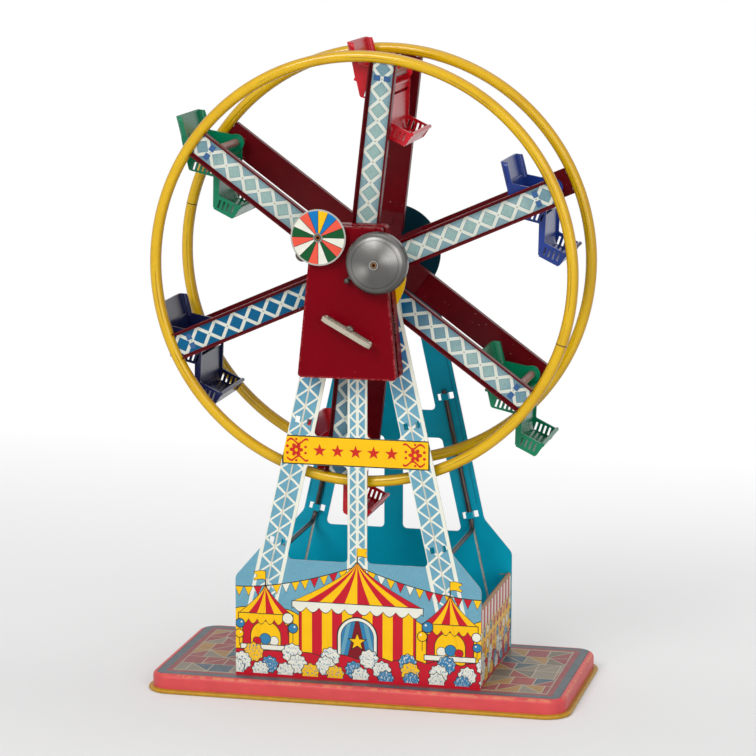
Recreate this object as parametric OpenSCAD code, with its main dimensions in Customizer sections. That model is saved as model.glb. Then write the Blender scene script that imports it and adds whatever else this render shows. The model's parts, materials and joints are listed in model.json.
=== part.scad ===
// Wind-up ferris wheel toy in lithographed tin plate.
// Millimetres, +Z up, the front faces -Y, origin on the floor under the middle of the base.

/* [Base] */
// Length of the tray's top, left to right
base_w = 279; // [250:1:320]
// Depth of the tray's top, front to back
base_d = 132; // [124:1:160]
// Height of the tray
base_h = 12.5; // [8:0.5:20]
// Corner radius of the tray
base_corner = 14; // [8:1:22]
// Radius of the tray's rounded top edge
base_edge_r = 3; // [1.5:0.5:5]
// How far the hem stands out at the foot of the tray
hem_out = 3; // [2:0.5:5]
// Height of the hem
hem_h = 2.6; // [2:0.1:4]
// Thickness of the tin plate
sheet = 0.8; // [0.6:0.1:1.2]

/* [Tower] */
// Width of the ticket box at the foot of the tower
box_w = 165; // [150:1:190]
// Depth of the tower over both panels
tower_d = 106; // [104:1:112]
// Height of the box's upright edges above the tray
shoulder_h = 67; // [60:1:75]
// Rise of the slope from the shoulder to the leg
shoulder_rise = 22.5; // [18:0.5:26]
// Height of the side walls above the tray
side_wall_h = 52; // [40:1:60]
// Half spread of the legs' outer edges at the floor
leg_foot = 85.5; // [82:0.5:90]
// How far a leg comes in for each unit of height
leg_slope = 0.219; // [0.205:0.001:0.23]
// Width of each outer leg
leg_w = 17.7; // [15:0.1:19]
// Width of the middle leg
mid_leg_w = 13; // [10:0.5:16]
// Radius of the round head that carries the axle
head_r = 32; // [29:0.5:34]
// Height of the lower windows' sill above the tray
sill_h = 80; // [76:1:84]
// Height of the cross bar's lower edge above the tray
bar_low_h = 144; // [138:1:150]
// Height of the cross bar
bar_h = 19; // [15:1:24]
// Height of the upper windows
upper_window_h = 62; // [50:1:66]
// Corner radius of the windows
window_r = 3; // [1.5:0.5:4]
// Half width of the pressed bead down each outer leg
bead_r = 1.5; // [1:0.1:1.8]
// Width of the tabs that lock the panels to the tray
tab_w = 9; // [6:0.5:12]
// Diameter of the spreader wires
wire_d = 3.2; // [2.4:0.1:3.4]
// Radius of the bends in the spreader wires
wire_bend = 7; // [5:0.5:10]
// Height of the upper wire clips above the tray
clip_high = 173; // [168:1:178]
// Height of the lower wire clips above the tray
clip_low = 92; // [88:1:98]

/* [Wheel] */
// Height of the axle above the floor
axle_z = 283.3; // [280:0.1:292]
// Place of the wheel's middle along the axle
wheel_y = -7; // [-7:0.5:4]
// Radius of the rims at the middle of the tube
rim_r = 138; // [136:0.5:140]
// Diameter of the rim tube
rim_tube = 7.4; // [6.5:0.1:8]
// Distance between the two rims
rim_gap = 72; // [70:0.5:73]
// Width of a spoke channel
spoke_w = 17.8; // [15:0.1:18.5]
// Depth of a spoke's flanges
flange_d = 4; // [2.5:0.1:4.2]
// Turn of the wheel at rest
wheel_turn = 23.7; // [20:0.1:26]
// Diameter of the axle
axle_d = 5; // [4:0.1:6]
// Radius of the hub plates
hub_r = 30; // [28:0.5:34]
// Distance of the gondola rods inside the rims
rod_inset = 13; // [11:0.5:18]
// Diameter of the gondola rods
rod_d = 5; // [4:0.1:5.5]

/* [Gondolas] */
// Width over a gondola's sides
gondola_w = 54; // [48:0.5:58]
// Thickness of the moulded walls
moulding = 1.6; // [1.2:0.1:2]
// Height of the back rest above the rod
back_top = 22; // [18:0.5:27]
// Depth of the foot tray's floor below the rod
foot_drop = 38; // [34:0.5:42]
// Width of the slots in the sides
slot_w = 1.4; // [1:0.1:1.8]

/* [Motor] */
// Depth of the motor in front of the tower
motor_d = 20; // [19:0.5:24]
// Height of the motor plates
motor_h = 98; // [96:0.5:104]
// Width of the motor plates at the bottom
motor_low_w = 65.2; // [64:0.2:72]
// Width of the motor plates at the top
motor_top_w = 45.7; // [45:0.1:56]
// Offset of the motor's plates to the left of the axle
motor_off = 2.1; // [0:0.1:2.4]
// Depth of the back plate's flange
back_flange = 9; // [7:0.5:10]
// Depth of the cover's flange
cover_flange = 5; // [4:0.25:5.5]
// Tooth size of the great wheel and the axle pinion
drive_module = 0.7; // [0.69:0.002:0.71]
// Teeth of the great wheel
great_teeth = 80; // [78:1:82]
// Teeth of the pinion on the axle
pinion_teeth = 15; // [14:1:16]
// Tooth size of the spinner's train
train_module = 0.6; // [0.58:0.005:0.61]
// Teeth of the gear on the axle
axle_gear_teeth = 56; // [52:1:57]
// Teeth of the small pinions
small_teeth = 10; // [10:1:11]
// Teeth of the intermediate wheel
middle_teeth = 40; // [38:1:41]
// Turns of the mainspring
spring_turns = 6; // [4:1:7]
// Outer radius of the mainspring
spring_r = 19; // [16:0.5:20]
// Length of the key's loop
key_l = 37; // [32:0.5:44]
// Width of the strip that the key is bent from
key_w = 3.2; // [2.6:0.1:5]
// Turn of the key at rest
key_turn = -29; // [-60:1:60]

/* [Bell and spinner] */
// Diameter of the bell
bell_d = 40; // [36:0.5:41]
// Height of the bell's dome
bell_h = 12; // [9:0.5:15]
// Gap behind the bell's edge
bell_gap = 5; // [4.5:0.25:7]
// Diameter of the spinner disc
spinner_d = 36; // [30:0.5:36]
// Diameter of the striker's ball
ball_d = 4; // [3:0.1:4.4]

/* [Hidden] */
$fn = 64;
run = 0.08;
face = 0.3;
tower_y = tower_d / 2;
panel_in = tower_y - sheet;
shoulder_z = base_h + shoulder_h;
bar_low = base_h + bar_low_h;
bar_top = bar_low + bar_h;
function leg_out(z) = leg_foot - leg_slope * z;
function leg_in(z) = leg_out(z) - leg_w;
function leg_mid(z) = leg_out(z) - leg_w / 2;
leg_lean = atan(leg_slope);
wire_y = panel_in - wire_d / 2;
wire_room = wire_d / 2 + 0.05;
clip_l = 4.4;
clip_tab = 3;
bead_foot = 8;
bush_wall = 1;
hub_t = 1;
hub_collar_r = 5.5;
hub_collar_l = 8;
spoke_start = 18;
rivet_r = 24;
rivet_d = 3;
rod_tab = [3.4, 0.5, 4];
rod_tab_at = 1.5;
rim_wall = 0.8;
rod_r = rim_r - rod_inset;
seam = sheet + 2 * 0.05;
flange_end = rim_r - rim_tube / 2 - face;
tab_end = rim_r - rim_tube / 2 + rim_wall + 1.2;
plate_y = -tower_y;
plate_in = plate_y - sheet;
cover_y = plate_y - motor_d;
cover_in = cover_y + sheet;
plate_round = 2.5;
motor_drop = 65.3;
motor_low = axle_z - motor_drop;
arbor_d = 4;
pivot_d = 2.4;
great_r = drive_module * great_teeth / 2;
pinion_r = drive_module * pinion_teeth / 2;
axle_gear_r = train_module * axle_gear_teeth / 2;
small_r = train_module * small_teeth / 2;
middle_r = train_module * middle_teeth / 2;
axle_at = [0, axle_z];
key_at = axle_at - [0, great_r + pinion_r];
spinner_off = [-19.4, 25.9];
spinner_at = axle_at + spinner_off;
middle_at = meet(axle_at, axle_gear_r + small_r, spinner_at, middle_r + small_r);
bell_off = [19.5, 11.2];
bell_at = axle_at + bell_off;
pillar_in = 5.5;
pillar_up = 5;
top_pillar_in = 11.5;
pillars = [
    [-motor_off - motor_low_w / 2 + pillar_in, motor_low + pillar_up],
    [-motor_off + motor_low_w / 2 - pillar_in, motor_low + pillar_up],
    [-motor_off + motor_top_w / 2 - top_pillar_in, motor_low + motor_h - pillar_up]
];
gear_t = 1;
layer_striker = cover_in + 0.5;
layer_gear = layer_striker + gear_t + 0.8;
layer_click = layer_gear + gear_t + 0.5;
layer_great = layer_click + gear_t + 0.3;
layer_spring = layer_great + gear_t + 0.7;
spring_w = plate_in - 1.2 - layer_spring;
spring_t = 0.6;
ratchet_r = 7;
ratchet_teeth = 14;
click_at = polar(ratchet_r + 4.5, 30);
click_nose = polar(ratchet_r + 1.1, 62);
collar_d = 6;
spinner_y = cover_y - 5;
spinner_t = 0.6;
bell_y = cover_y - bell_gap;
bell_t = 0.9;
stud_d = 2;
arm_w = 3;
strike_reach = 9;
strike_from = axle_at + polar(strike_reach, 48);
strike_pivot = strike_from + polar(14, -42);
strike_lift = 11;
stem_d = 1.8;
stem_y = cover_y - 2.2;
ball_at = axle_at + [-1, -1.3];
ball_y = cover_y - bell_gap + 1;
cam_tip = strike_reach - arm_w / 2 - face;
cam_low = axle_d / 2 + 1.8;
cam_lobes = 4;
cam_turn = 3;
lever_off = [-16.9, 16.9];
lever_pivot = axle_at + lever_off;
lever_hub_d = 6;
lever_ring = lever_pivot + polar(14.4, 192);
lever_swing = 22;
finger_reach = 6.2;
finger_turn = -115;
finger_d = 1.6;
lever_y = cover_y - face;
key_y = cover_y - 3.5;
key_d = 8.5;
key_wall = 0.9;
key_head = 0.8;
front_web = wheel_y - rim_gap / 2;
back_web = wheel_y + rim_gap / 2;
chair_colours = ["royalblue", "crimson", "seagreen", "midnightblue", "crimson", "seagreen"];

// Point at radius r and angle a
function polar(r, a) = [r * cos(a), r * sin(a)];

// Point where two circles cross, to the right of the line from the first centre to the second
function meet(a, ra, b, rb) =
    let (d = norm(b - a), u = (b - a) / d, s = (ra * ra - rb * rb + d * d) / (2 * d))
    a + s * u + sqrt(ra * ra - s * s) * [u.y, -u.x];

// Arc that rounds the corner b between its neighbours a and c
function corner(a, b, c, r, n = 5) =
    let (
        u = (a - b) / norm(a - b),
        w = (c - b) / norm(c - b),
        half = acos(u * w) / 2,
        o = b + (u + w) / norm(u + w) * r / sin(half),
        from = b + u * r / tan(half) - o,
        to = b + w * r / tan(half) - o,
        start = atan2(from.y, from.x),
        turn = 360,
        sweep = (atan2(to.y, to.x) - start + 1.5 * turn) % turn - turn / 2
    )
    [for (i = [0:n]) o + polar(r, start + sweep * i / n)];

// Outline with its corners rounded, each by its own radius
function rounded(pts, radii) =
    let (n = len(pts))
    [
        for (i = [0:n - 1])
            each (radii[i] == 0 ? [pts[i]] : corner(pts[(i + n - 1) % n], pts[i], pts[(i + 1) % n], radii[i]))
    ];

// The same radius at every corner of an outline
function same(pts, r) = [for (p = pts) r];

// Band of width w along an arc
function arc_band(r, w, a1, a2, n = 12) = concat(
    [for (i = [0:n]) polar(r + w / 2, a1 + (a2 - a1) * i / n)],
    [for (i = [n:-1:0]) polar(r - w / 2, a1 + (a2 - a1) * i / n)]
);

// Gear outline with a tooth at the angle turn
function gear(n, m, turn) =
    let (p = 360 / n, root = m * (n / 2 - 1.15), tip = m * (n / 2 + 0.8))
    [
        for (i = [0:n - 1], c = [[root, -0.3], [tip, -0.1], [tip, 0.1], [root, 0.3]])
            polar(c[0], turn + p * (i + c[1]))
    ];

// Direction from one point to another, in degrees
function heading(a, b) = atan2(b.y - a.y, b.x - a.x);

// A front-view outline made into a sheet between two depths
module slab(y1, y2) {
    translate([0, y2, 0]) rotate([90, 0, 0]) linear_extrude(y2 - y1) children();
}

// A round bar along the depth
module pin(at, d, y1, y2) {
    translate([at.x, y2, at.y]) rotate([90, 0, 0]) cylinder(d = d, h = y2 - y1);
}

// Places its children at the point a, with their +Z towards the point b
module toward(a, b) {
    v = b - a;
    translate(a) rotate([0, acos(v.z / norm(v)), atan2(v.y, v.x)]) children();
}

// A flat bar with round ends in the front view
module link(a, b, w) {
    translate(a) circle(d = w);
    translate(b) circle(d = w);
    translate(a) rotate(heading(a, b)) translate([0, -w / 2]) square([norm(b - a), w]);
}

// A rectangle with round corners
module round_rect(w, d, r) {
    square([w - 2 * r, d], center = true);
    square([w, d - 2 * r], center = true);
    for (x = [-1, 1], y = [-1, 1]) translate([x * (w / 2 - r), y * (d / 2 - r)]) circle(r);
}

// Section through the tray's wall: hem, wall and rounded top edge, with the outside at x = 0
module tray_section() {
    translate([-sheet, 0]) square([sheet, base_h - base_edge_r]);
    translate([-sheet, 0]) square([hem_out + sheet - hem_h / 2, hem_h]);
    translate([hem_out - hem_h / 2, hem_h / 2]) circle(d = hem_h);
    translate([-base_edge_r, base_h - base_edge_r]) intersection() {
        difference() {
            circle(base_edge_r);
            circle(base_edge_r - sheet);
        }
        square(base_edge_r);
    }
}

// One straight side of the tray
module tray_side(l, out) {
    translate([-l / 2, out, 0]) rotate([90, 0, 90]) linear_extrude(l) tray_section();
}

// Places of the panel tabs along the tray
tab_x = [-box_w / 3, 0, box_w / 3];

module base_tray() {
    color("salmon") difference() {
        union() {
            for (a = [0, 180]) rotate(a) tray_side(base_w - 2 * base_corner, base_d / 2);
            for (a = [90, 270]) rotate(a) tray_side(base_d - 2 * base_corner, base_w / 2);
            for (x = [-1, 1], y = [-1, 1])
                translate([x * (base_w / 2 - base_corner), y * (base_d / 2 - base_corner), 0])
                    rotate(y > 0 ? (x > 0 ? 0 : 90) : (x > 0 ? 270 : 180))
                        rotate_extrude(angle = 90) translate([base_corner, 0]) tray_section();
            translate([0, 0, base_h - sheet])
                linear_extrude(sheet)
                    round_rect(base_w - 2 * base_edge_r, base_d - 2 * base_edge_r, base_corner - base_edge_r);
        }
        for (x = tab_x, y = [-1, 1])
            translate([x, y * (tower_y - sheet / 2), base_h])
                cube([tab_w + 2 * run, sheet + 2 * run, 3 * sheet], center = true);
    }
}

// Right half of the tower panel's outline, from the foot up to the axle
panel_half = [
    [box_w / 2, base_h],
    [box_w / 2, shoulder_z],
    [leg_out(shoulder_z + shoulder_rise), shoulder_z + shoulder_rise],
    [leg_out(axle_z), axle_z]
];
panel_round = [0, 7, 9, 0];

module panel_outline() {
    left = [for (i = [len(panel_half) - 1:-1:0]) [-panel_half[i].x, panel_half[i].y]];
    radii = concat(panel_round, [for (i = [len(panel_half) - 1:-1:0]) panel_round[i]]);
    polygon(rounded(concat(panel_half, left), radii));
    translate(axle_at) circle(head_r);
}

// Window between the middle leg and an outer leg
module window(low, top) {
    pts = [[mid_leg_w / 2, low], [leg_in(low), low], [leg_in(top), top], [mid_leg_w / 2, top]];
    polygon(rounded(pts, same(pts, window_r)));
}

// Moves its children to the middle of the right or left leg, upright along the leg
module on_leg(side, z) {
    mirror([side < 0 ? 1 : 0, 0, 0]) translate([leg_mid(z), 0, z]) rotate([0, -leg_lean, 0]) children();
}

clip_heights = [base_h + clip_low, base_h + clip_high];
bead_runs = [
    [base_h + bead_foot, base_h + clip_low - 2 * clip_l],
    [base_h + clip_low + clip_l, base_h + clip_high - clip_l]
];

// Pressed bead down a leg, standing out of a sheet whose outside is at y = 0
module bead(side, low, top, r) {
    on_leg(side, low) translate([0, bead_r - 0.6, 0]) cylinder(r = r, h = (top - low) / cos(leg_lean));
}

// Two tabs cut from a sheet and closed round a spreader wire, where the sheet's inside is at y = sheet
module wire_clip() {
    difference() {
        translate([-wire_room - sheet, sheet, -clip_l / 2])
            cube([2 * (wire_room + sheet), wire_room + wire_d / 2 + sheet, clip_l]);
        translate([-wire_room, 0, -clip_l]) cube([2 * wire_room, sheet + wire_d / 2, 2 * clip_l]);
        translate([0, sheet + wire_d / 2, -clip_l]) cylinder(r = wire_room, h = 2 * clip_l);
    }
}

// Tower panel with its outside at y = 0, facing the front
module tower_panel(hole_d) {
    difference() {
        union() {
            slab(0, sheet) panel_outline();
            for (s = [-1, 1], b = bead_runs) bead(s, b[0], b[1], bead_r);
        }
        translate([-box_w, sheet, 0]) cube([2 * box_w, 2 * bead_r, axle_z]);
        for (s = [-1, 1], b = bead_runs) bead(s, b[0], b[1], bead_r - 0.7);
        for (s = [0, 1]) mirror([s, 0, 0]) slab(-1, 2 * sheet) {
            window(base_h + sill_h, bar_low);
            window(bar_top, bar_top + upper_window_h);
        }
        for (s = [-1, 1], z = clip_heights, e = [-1, 1])
            on_leg(s, z) translate([e * (wire_room + sheet + clip_tab / 2), sheet / 2, 0])
                cube([clip_tab, 3 * sheet, clip_l], center = true);
        pin(axle_at, hole_d, -1, 1 + sheet);
    }
    for (s = [-1, 1], z = clip_heights) on_leg(s, z) wire_clip();
    for (x = tab_x) translate([x - tab_w / 2, 0, base_h - 2 * sheet]) {
        cube([tab_w, sheet, 2 * sheet]);
        cube([tab_w, 5, sheet]);
    }
}

bush_d = axle_d + 2 * run + 2 * bush_wall;

module front_panel() {
    color("skyblue") translate([0, -tower_y, 0]) tower_panel(bush_d + 2 * run);
}

module back_panel() {
    color("darkcyan") rotate(180) translate([0, -tower_y, 0]) tower_panel(bush_d + 2 * run);
}

// Side wall of the box, with a rolled top edge and flanges against both panels
module side_wall() {
    roll = 1.2;
    lip = 8;
    outer = box_w / 2 - 0.5;
    top = base_h + side_wall_h;
    difference() {
        translate([outer - lip, -panel_in, base_h]) cube([lip, 2 * panel_in, side_wall_h]);
        translate([outer - lip - 1, -panel_in + sheet, base_h - 1])
            cube([lip + 1 - sheet, 2 * (panel_in - sheet), side_wall_h + 2]);
    }
    translate([outer - roll, 0, top + roll * 0.5]) rotate([90, 0, 0])
        cylinder(r = roll, h = 2 * (panel_in - sheet - 1), center = true);
}

module right_side_wall() {
    color("goldenrod") side_wall();
}

module left_side_wall() {
    color("goldenrod") mirror([1, 0, 0]) side_wall();
}

// Spreader wire: down the back leg, across the tower and up the front leg
module spreader_wire(side) {
    low = base_h + clip_low - clip_l / 2 - wire_bend - 0.5;
    run_up = (base_h + clip_high + clip_l - low) / cos(leg_lean);
    on_leg(side, low) {
        for (y = [-1, 1]) {
            translate([0, y * wire_y, wire_bend]) cylinder(d = wire_d, h = run_up - wire_bend);
            translate([0, y * (wire_y - wire_bend), wire_bend]) rotate([0, 90, 0]) rotate(y > 0 ? 0 : 180)
                rotate([0, 0, y > 0 ? 0 : 90]) rotate_extrude(angle = 90)
                    translate([wire_bend, 0]) circle(d = wire_d);
        }
        rotate([90, 0, 0]) cylinder(d = wire_d, h = 2 * (wire_y - wire_bend), center = true);
    }
}

module left_spreader_wire() {
    color("dimgray") spreader_wire(-1);
}

module right_spreader_wire() {
    color("dimgray") spreader_wire(1);
}

// Outline of the motor's plates, drawn in by the given margin
module motor_outline(margin = 0) {
    low = motor_low + margin;
    top = motor_low + motor_h - margin;
    side = (motor_low_w - motor_top_w) / 2 / motor_h;
    function half(z) = motor_low_w / 2 - side * (z - motor_low) - margin;
    pts = [[-half(low), low], [half(low), low], [half(top), top], [-half(top), top]];
    translate([-motor_off, 0]) polygon(rounded(pts, same(pts, plate_round - margin)));
}

// Pressed motor plate: a flat face and a flange round its edge
module motor_tray(y1, y2, flange_to) {
    slab(y1, y2) motor_outline();
    slab(min(y2, flange_to), max(y1, flange_to)) difference() {
        motor_outline();
        motor_outline(sheet);
    }
}

module motor_back_plate() {
    color("firebrick") difference() {
        motor_tray(plate_in, plate_y, plate_y - back_flange);
        pin(axle_at, bush_d + 2 * run, plate_in - 1, plate_y + 1);
        for (at = [key_at, middle_at, spinner_at]) pin(at, pivot_d + 2 * run, plate_in - 1, plate_y + 1);
    }
}

// Slot along an arc about a pivot, wide enough for a bar of diameter d
module arc_slot(pivot, r, a1, a2, d) {
    translate(pivot) polygon(arc_band(r, d, a1, a2));
    for (a = [a1, a2]) translate(pivot + polar(r, a)) circle(d = d);
}

module motor_cover() {
    strike_turn = heading(strike_pivot, strike_from);
    color("firebrick") difference() {
        motor_tray(cover_y, cover_in, cover_y + cover_flange);
        pin(key_at, arbor_d + 2 * run, cover_y - 1, cover_in + 1);
        for (at = [axle_at, middle_at, spinner_at]) pin(at, pivot_d + 2 * run, cover_y - 1, cover_in + 1);
        for (at = [strike_pivot, lever_pivot]) pin(at, stud_d + 2 * run, cover_y - 1, cover_in + 1);
        pin(bell_at, post_d + 2 * run, cover_y - 1, cover_in + 1);
        slab(cover_y - 1, cover_in + 1) {
            arc_slot(strike_pivot, norm(strike_from - strike_pivot), strike_turn - strike_lift, strike_turn,
                stem_d + 2 * face);
            arc_slot(lever_pivot, finger_reach, finger_turn, finger_turn + lever_swing, finger_d + 2 * face);
        }
    }
}

pillar_d = 4;

module motor_pillars() {
    color("silver") for (at = pillars) pin(at, pillar_d, cover_in, plate_in);
}

// Flanged bush for the axle in a sheet between two depths, with its flange at y2
module bush(y1, y2) {
    difference() {
        union() {
            pin(axle_at, bush_d, y1, y2 + 0.8);
            pin(axle_at, bush_d + 3, y2, y2 + 0.8);
        }
        pin(axle_at, axle_d + 2 * run, y1 - 1, y2 + 2);
    }
}

module axle_bushes() {
    color("goldenrod") {
        bush(plate_in - 0.6, -panel_in);
        mirror([0, 1, 0]) bush(-tower_y - 0.6, -panel_in);
    }
}

// Mainspring: a strip wound from the arbor out to the pillar side
module mainspring() {
    inner = arbor_d / 2 + 1.5;
    steps = 24 * spring_turns;
    function coil(i) = inner + (spring_r - inner) * i / steps;
    pts = concat(
        [for (i = [0:steps]) polar(coil(i) + spring_t / 2, 15 * i)],
        [for (i = [steps:-1:0]) polar(coil(i) - spring_t / 2, 15 * i)]
    );
    color("steelblue") slab(layer_spring, layer_spring + spring_w) translate(key_at) {
        polygon(pts);
        translate([arbor_d / 2 + run, -spring_t / 2]) square([1.5, spring_t]);
    }
}

post_d = 3;

module bell_post() {
    color("goldenrod") {
        pin(bell_at, post_d, bell_y - bell_h - 0.8, cover_in);
        pin(bell_at, collar_d, bell_y - bell_h + bell_t, cover_y);
        difference() {
            pin(bell_at, collar_d, bell_y - bell_h - 0.8, bell_y - bell_h);
            pin(bell_at, post_d - 0.6, bell_y - bell_h - 1.8, bell_y - bell_h - 0.3);
        }
    }
}

// Radius and height along the bell's outside, from the edge to the crown
function bell_line(inset) = let (r = bell_d / 2 - inset, h = bell_h - inset, s = h * 0.45) concat(
    [[r, 0]],
    [for (a = [0:15:75]) [r - s + s * cos(a), h * 0.78 - s + s * sin(a)]],
    [[post_d, h]]
);

module bell_gong() {
    hole = post_d / 2 + run;
    bead_d = 2.2;
    outer = bell_line(0);
    inner = bell_line(bell_t);
    color("gray") translate([bell_at.x, bell_y, bell_at.y]) rotate([90, 0, 0]) {
        rotate_extrude() {
            polygon(concat(
                outer, [[hole, bell_h]], [[hole, bell_h - bell_t]],
                [for (i = [len(inner) - 1:-1:0]) inner[i]]
            ));
            translate([bell_d / 2 - bead_d / 2, bead_d / 2]) circle(d = bead_d);
        }
    }
}

// Studs that the striker and the stop lever turn on
module pivot_studs() {
    color("silver") {
        pin(strike_pivot, stud_d, cover_y - 0.4, layer_striker + gear_t + 0.5);
        pin(strike_pivot, stud_d + 1.6, layer_striker + gear_t + 0.1, layer_striker + gear_t + 0.7);
        pin(lever_pivot, stud_d, lever_y - gear_t - 0.5, cover_in + 0.3);
        pin(lever_pivot, stud_d + 2.4, lever_y - gear_t - 0.9, lever_y - gear_t - 0.1);
    }
}

module winding_arbor() {
    color("silver") {
        pin(key_at, arbor_d, key_y, plate_in - 0.4);
        pin(key_at, arbor_d + 1.6, key_y, cover_y - face);
        pin(key_at, pivot_d, plate_in - 0.4, plate_y);
        pin(key_at, pivot_d, key_y - key_wall - key_head, key_y);
        pin(key_at, pivot_d + 1.4, key_y - key_wall - key_head, key_y - key_wall);
    }
}

// Key: a strip bent into a long loop, with its back riveted to the arbor's end
module key_handle() {
    color("wheat") difference() {
        translate([key_at.x, key_y - key_d / 2, key_at.y]) rotate([0, -key_turn, 0])
            translate([0, 0, -key_w / 2]) linear_extrude(key_w) difference() {
                round_rect(key_l, key_d, key_d / 2 - 0.01);
                round_rect(key_l - 2 * key_wall, key_d - 2 * key_wall, key_d / 2 - key_wall - 0.01);
            }
        pin(key_at, pivot_d, key_y - 2 * key_wall, key_y + 1);
    }
}

module ratchet_wheel() {
    p = 360 / ratchet_teeth;
    tooth = [[ratchet_r, 0], [ratchet_r - 1.2, 0.12]];
    pts = [for (i = [0:ratchet_teeth - 1], c = tooth) polar(c[0], p * (i + c[1]))];
    color("silver") slab(layer_click, layer_click + gear_t) translate(key_at) difference() {
        polygon(pts);
        circle(d = arbor_d);
    }
}

module great_wheel() {
    color("goldenrod") {
        slab(layer_great, layer_great + gear_t) translate(key_at) difference() {
            polygon(gear(great_teeth, drive_module, 90));
            circle(d = arbor_d + 2 * run);
            for (a = [0:60:300]) rotate(a) translate([great_r * 0.65, 0]) circle(d = great_r * 0.35);
        }
        pin(key_at + click_at, stud_d, layer_click - 0.4, layer_great);
    }
}

// Click that lets the key turn one way: a pivoted pawl with its nose at the ratchet's teeth
module click() {
    color("silver") slab(layer_click, layer_click + gear_t) translate(key_at) difference() {
        union() {
            link(click_at, click_nose, 1.6);
            translate(click_at) circle(d = 4);
        }
        translate(click_at) circle(d = stud_d + 2 * run);
    }
}

module click_spring() {
    reach = ratchet_r + 3.1;
    tip_turn = 64;
    post_turn = 120;
    color("steelblue") slab(layer_click, layer_great) translate(key_at) {
        polygon(arc_band(reach, 0.5, tip_turn, post_turn - 2));
        translate(polar(reach, post_turn)) circle(d = 2.4);
    }
}

module wheel_axle() {
    color("silver") {
        pin(axle_at, axle_d, layer_striker, tower_y + 2);
        pin(axle_at, pivot_d, cover_y - 0.6, layer_striker);
        pin(axle_at, axle_d + 3, tower_y + 0.6 + face, tower_y + 2);
    }
}

// Wheel part on the axle: an outline with the axle's bore, between two depths
module on_axle(y1, y2) {
    slab(y1, y2) translate(axle_at) difference() {
        children();
        circle(d = axle_d);
    }
}

module axle_pinion() {
    color("goldenrod") on_axle(layer_gear + gear_t + 0.2, layer_great + gear_t + 0.6)
        polygon(gear(pinion_teeth, drive_module, -90 + 180 / pinion_teeth));
}

module axle_gear() {
    color("goldenrod") on_axle(layer_gear, layer_gear + gear_t)
        polygon(gear(axle_gear_teeth, train_module, heading(axle_at, middle_at)));
}

// Cam with round lobes that pass just under the striker's tail
module strike_cam() {
    function reach(a) = (cam_tip + cam_low + (cam_tip - cam_low) * cos(cam_lobes * (a - cam_turn))) / 2;
    color("silver") on_axle(layer_striker, layer_striker + gear_t)
        polygon([for (a = [0:5:355]) polar(reach(a), a)]);
}

// Hub: a round plate behind the spokes, with a collar on the axle
module hub() {
    difference() {
        union() {
            pin(axle_at, 2 * hub_r, sheet / 2, sheet / 2 + hub_t);
            pin(axle_at, 2 * hub_collar_r, sheet / 2, sheet / 2 + hub_t + hub_collar_l);
        }
        pin(axle_at, axle_d, 0, hub_t + hub_collar_l + 1);
        for (k = [0:5]) pin(axle_at + polar(rivet_r, wheel_turn + 60 * k), rivet_d, 0, 2 + hub_t);
    }
}

module front_hub() {
    color("maroon") translate([0, front_web, 0]) hub();
}

module back_hub() {
    color("maroon") translate([0, back_web, 0]) mirror([0, 1, 0]) hub();
}

// Rolled rim: a tube with an open seam on the inside for the spokes' tabs
module rim() {
    translate([0, 0, axle_z]) rotate([90, 0, 0])
        rotate_extrude($fn = 128) translate([rim_r, 0]) difference() {
            circle(d = rim_tube);
            circle(d = rim_tube - 2 * rim_wall);
            translate([-rim_tube, -seam / 2]) square([rim_tube, seam]);
        }
}

module front_rim() {
    color("gold") translate([0, front_web, 0]) rim();
}

module back_rim() {
    color("gold") translate([0, back_web, 0]) rim();
}

// Spoke along +X: a channel with its flanges to the front, a tab for the rim and slots for the rod's tabs
module spoke() {
    tab = 10;
    difference() {
        translate([0, sheet / 2, 0]) rotate([90, 0, 0]) linear_extrude(sheet) {
            translate([spoke_start, -spoke_w / 2]) square([flange_end - spoke_start, spoke_w]);
            translate([flange_end - 1, -tab / 2]) square([tab_end - flange_end + 1, tab]);
        }
        pin([rivet_r, 0], rivet_d, -sheet, sheet);
        for (e = [-1, 1]) translate([rod_r, 0, e * rod_tab_at])
            cube([rod_tab.x + 2 * run, 3 * sheet, rod_tab.y + 2 * run], center = true);
    }
    for (z = [-spoke_w / 2, spoke_w / 2 - sheet])
        translate([spoke_start, -sheet / 2 - flange_d, z]) cube([flange_end - spoke_start, flange_d, sheet]);
}

// Turns its children to the place of spoke k on the wheel
module at_spoke(k) {
    translate([0, 0, axle_z]) rotate([0, -wheel_turn - 60 * (k - 1), 0]) children();
}

module front_spoke(k) {
    color("maroon") translate([0, front_web, 0]) at_spoke(k) spoke();
}

module back_spoke(k) {
    color("maroon") translate([0, back_web, 0]) at_spoke(k) mirror([0, 1, 0]) spoke();
}

// Rivet through a spoke and its hub plate
module spoke_rivet() {
    pin([rivet_r, 0], rivet_d, -sheet / 2 - 1, sheet / 2 + hub_t + 0.8);
    pin([rivet_r, 0], rivet_d + 2.5, -sheet / 2 - 1, -sheet / 2);
    pin([rivet_r, 0], rivet_d + 1.5, sheet / 2 + hub_t, sheet / 2 + hub_t + 0.8);
}

module spoke_rivets() {
    color("maroon") for (k = [1:6]) {
        translate([0, front_web, 0]) at_spoke(k) spoke_rivet();
        translate([0, back_web, 0]) at_spoke(k) mirror([0, 1, 0]) spoke_rivet();
    }
}

// Tab on a rod's end: through the spoke and folded flat outside it, with the wheel's middle at y = 0
module folded_tab() {
    outside = rim_gap / 2 + sheet / 2;
    translate([-rod_tab.x / 2, -outside - rod_tab.y, rod_tab_at - rod_tab.y / 2]) {
        cube([rod_tab.x, rod_tab.y + 2 * sheet, rod_tab.y]);
        cube([rod_tab.x, rod_tab.y, rod_tab.z]);
    }
}

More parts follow.
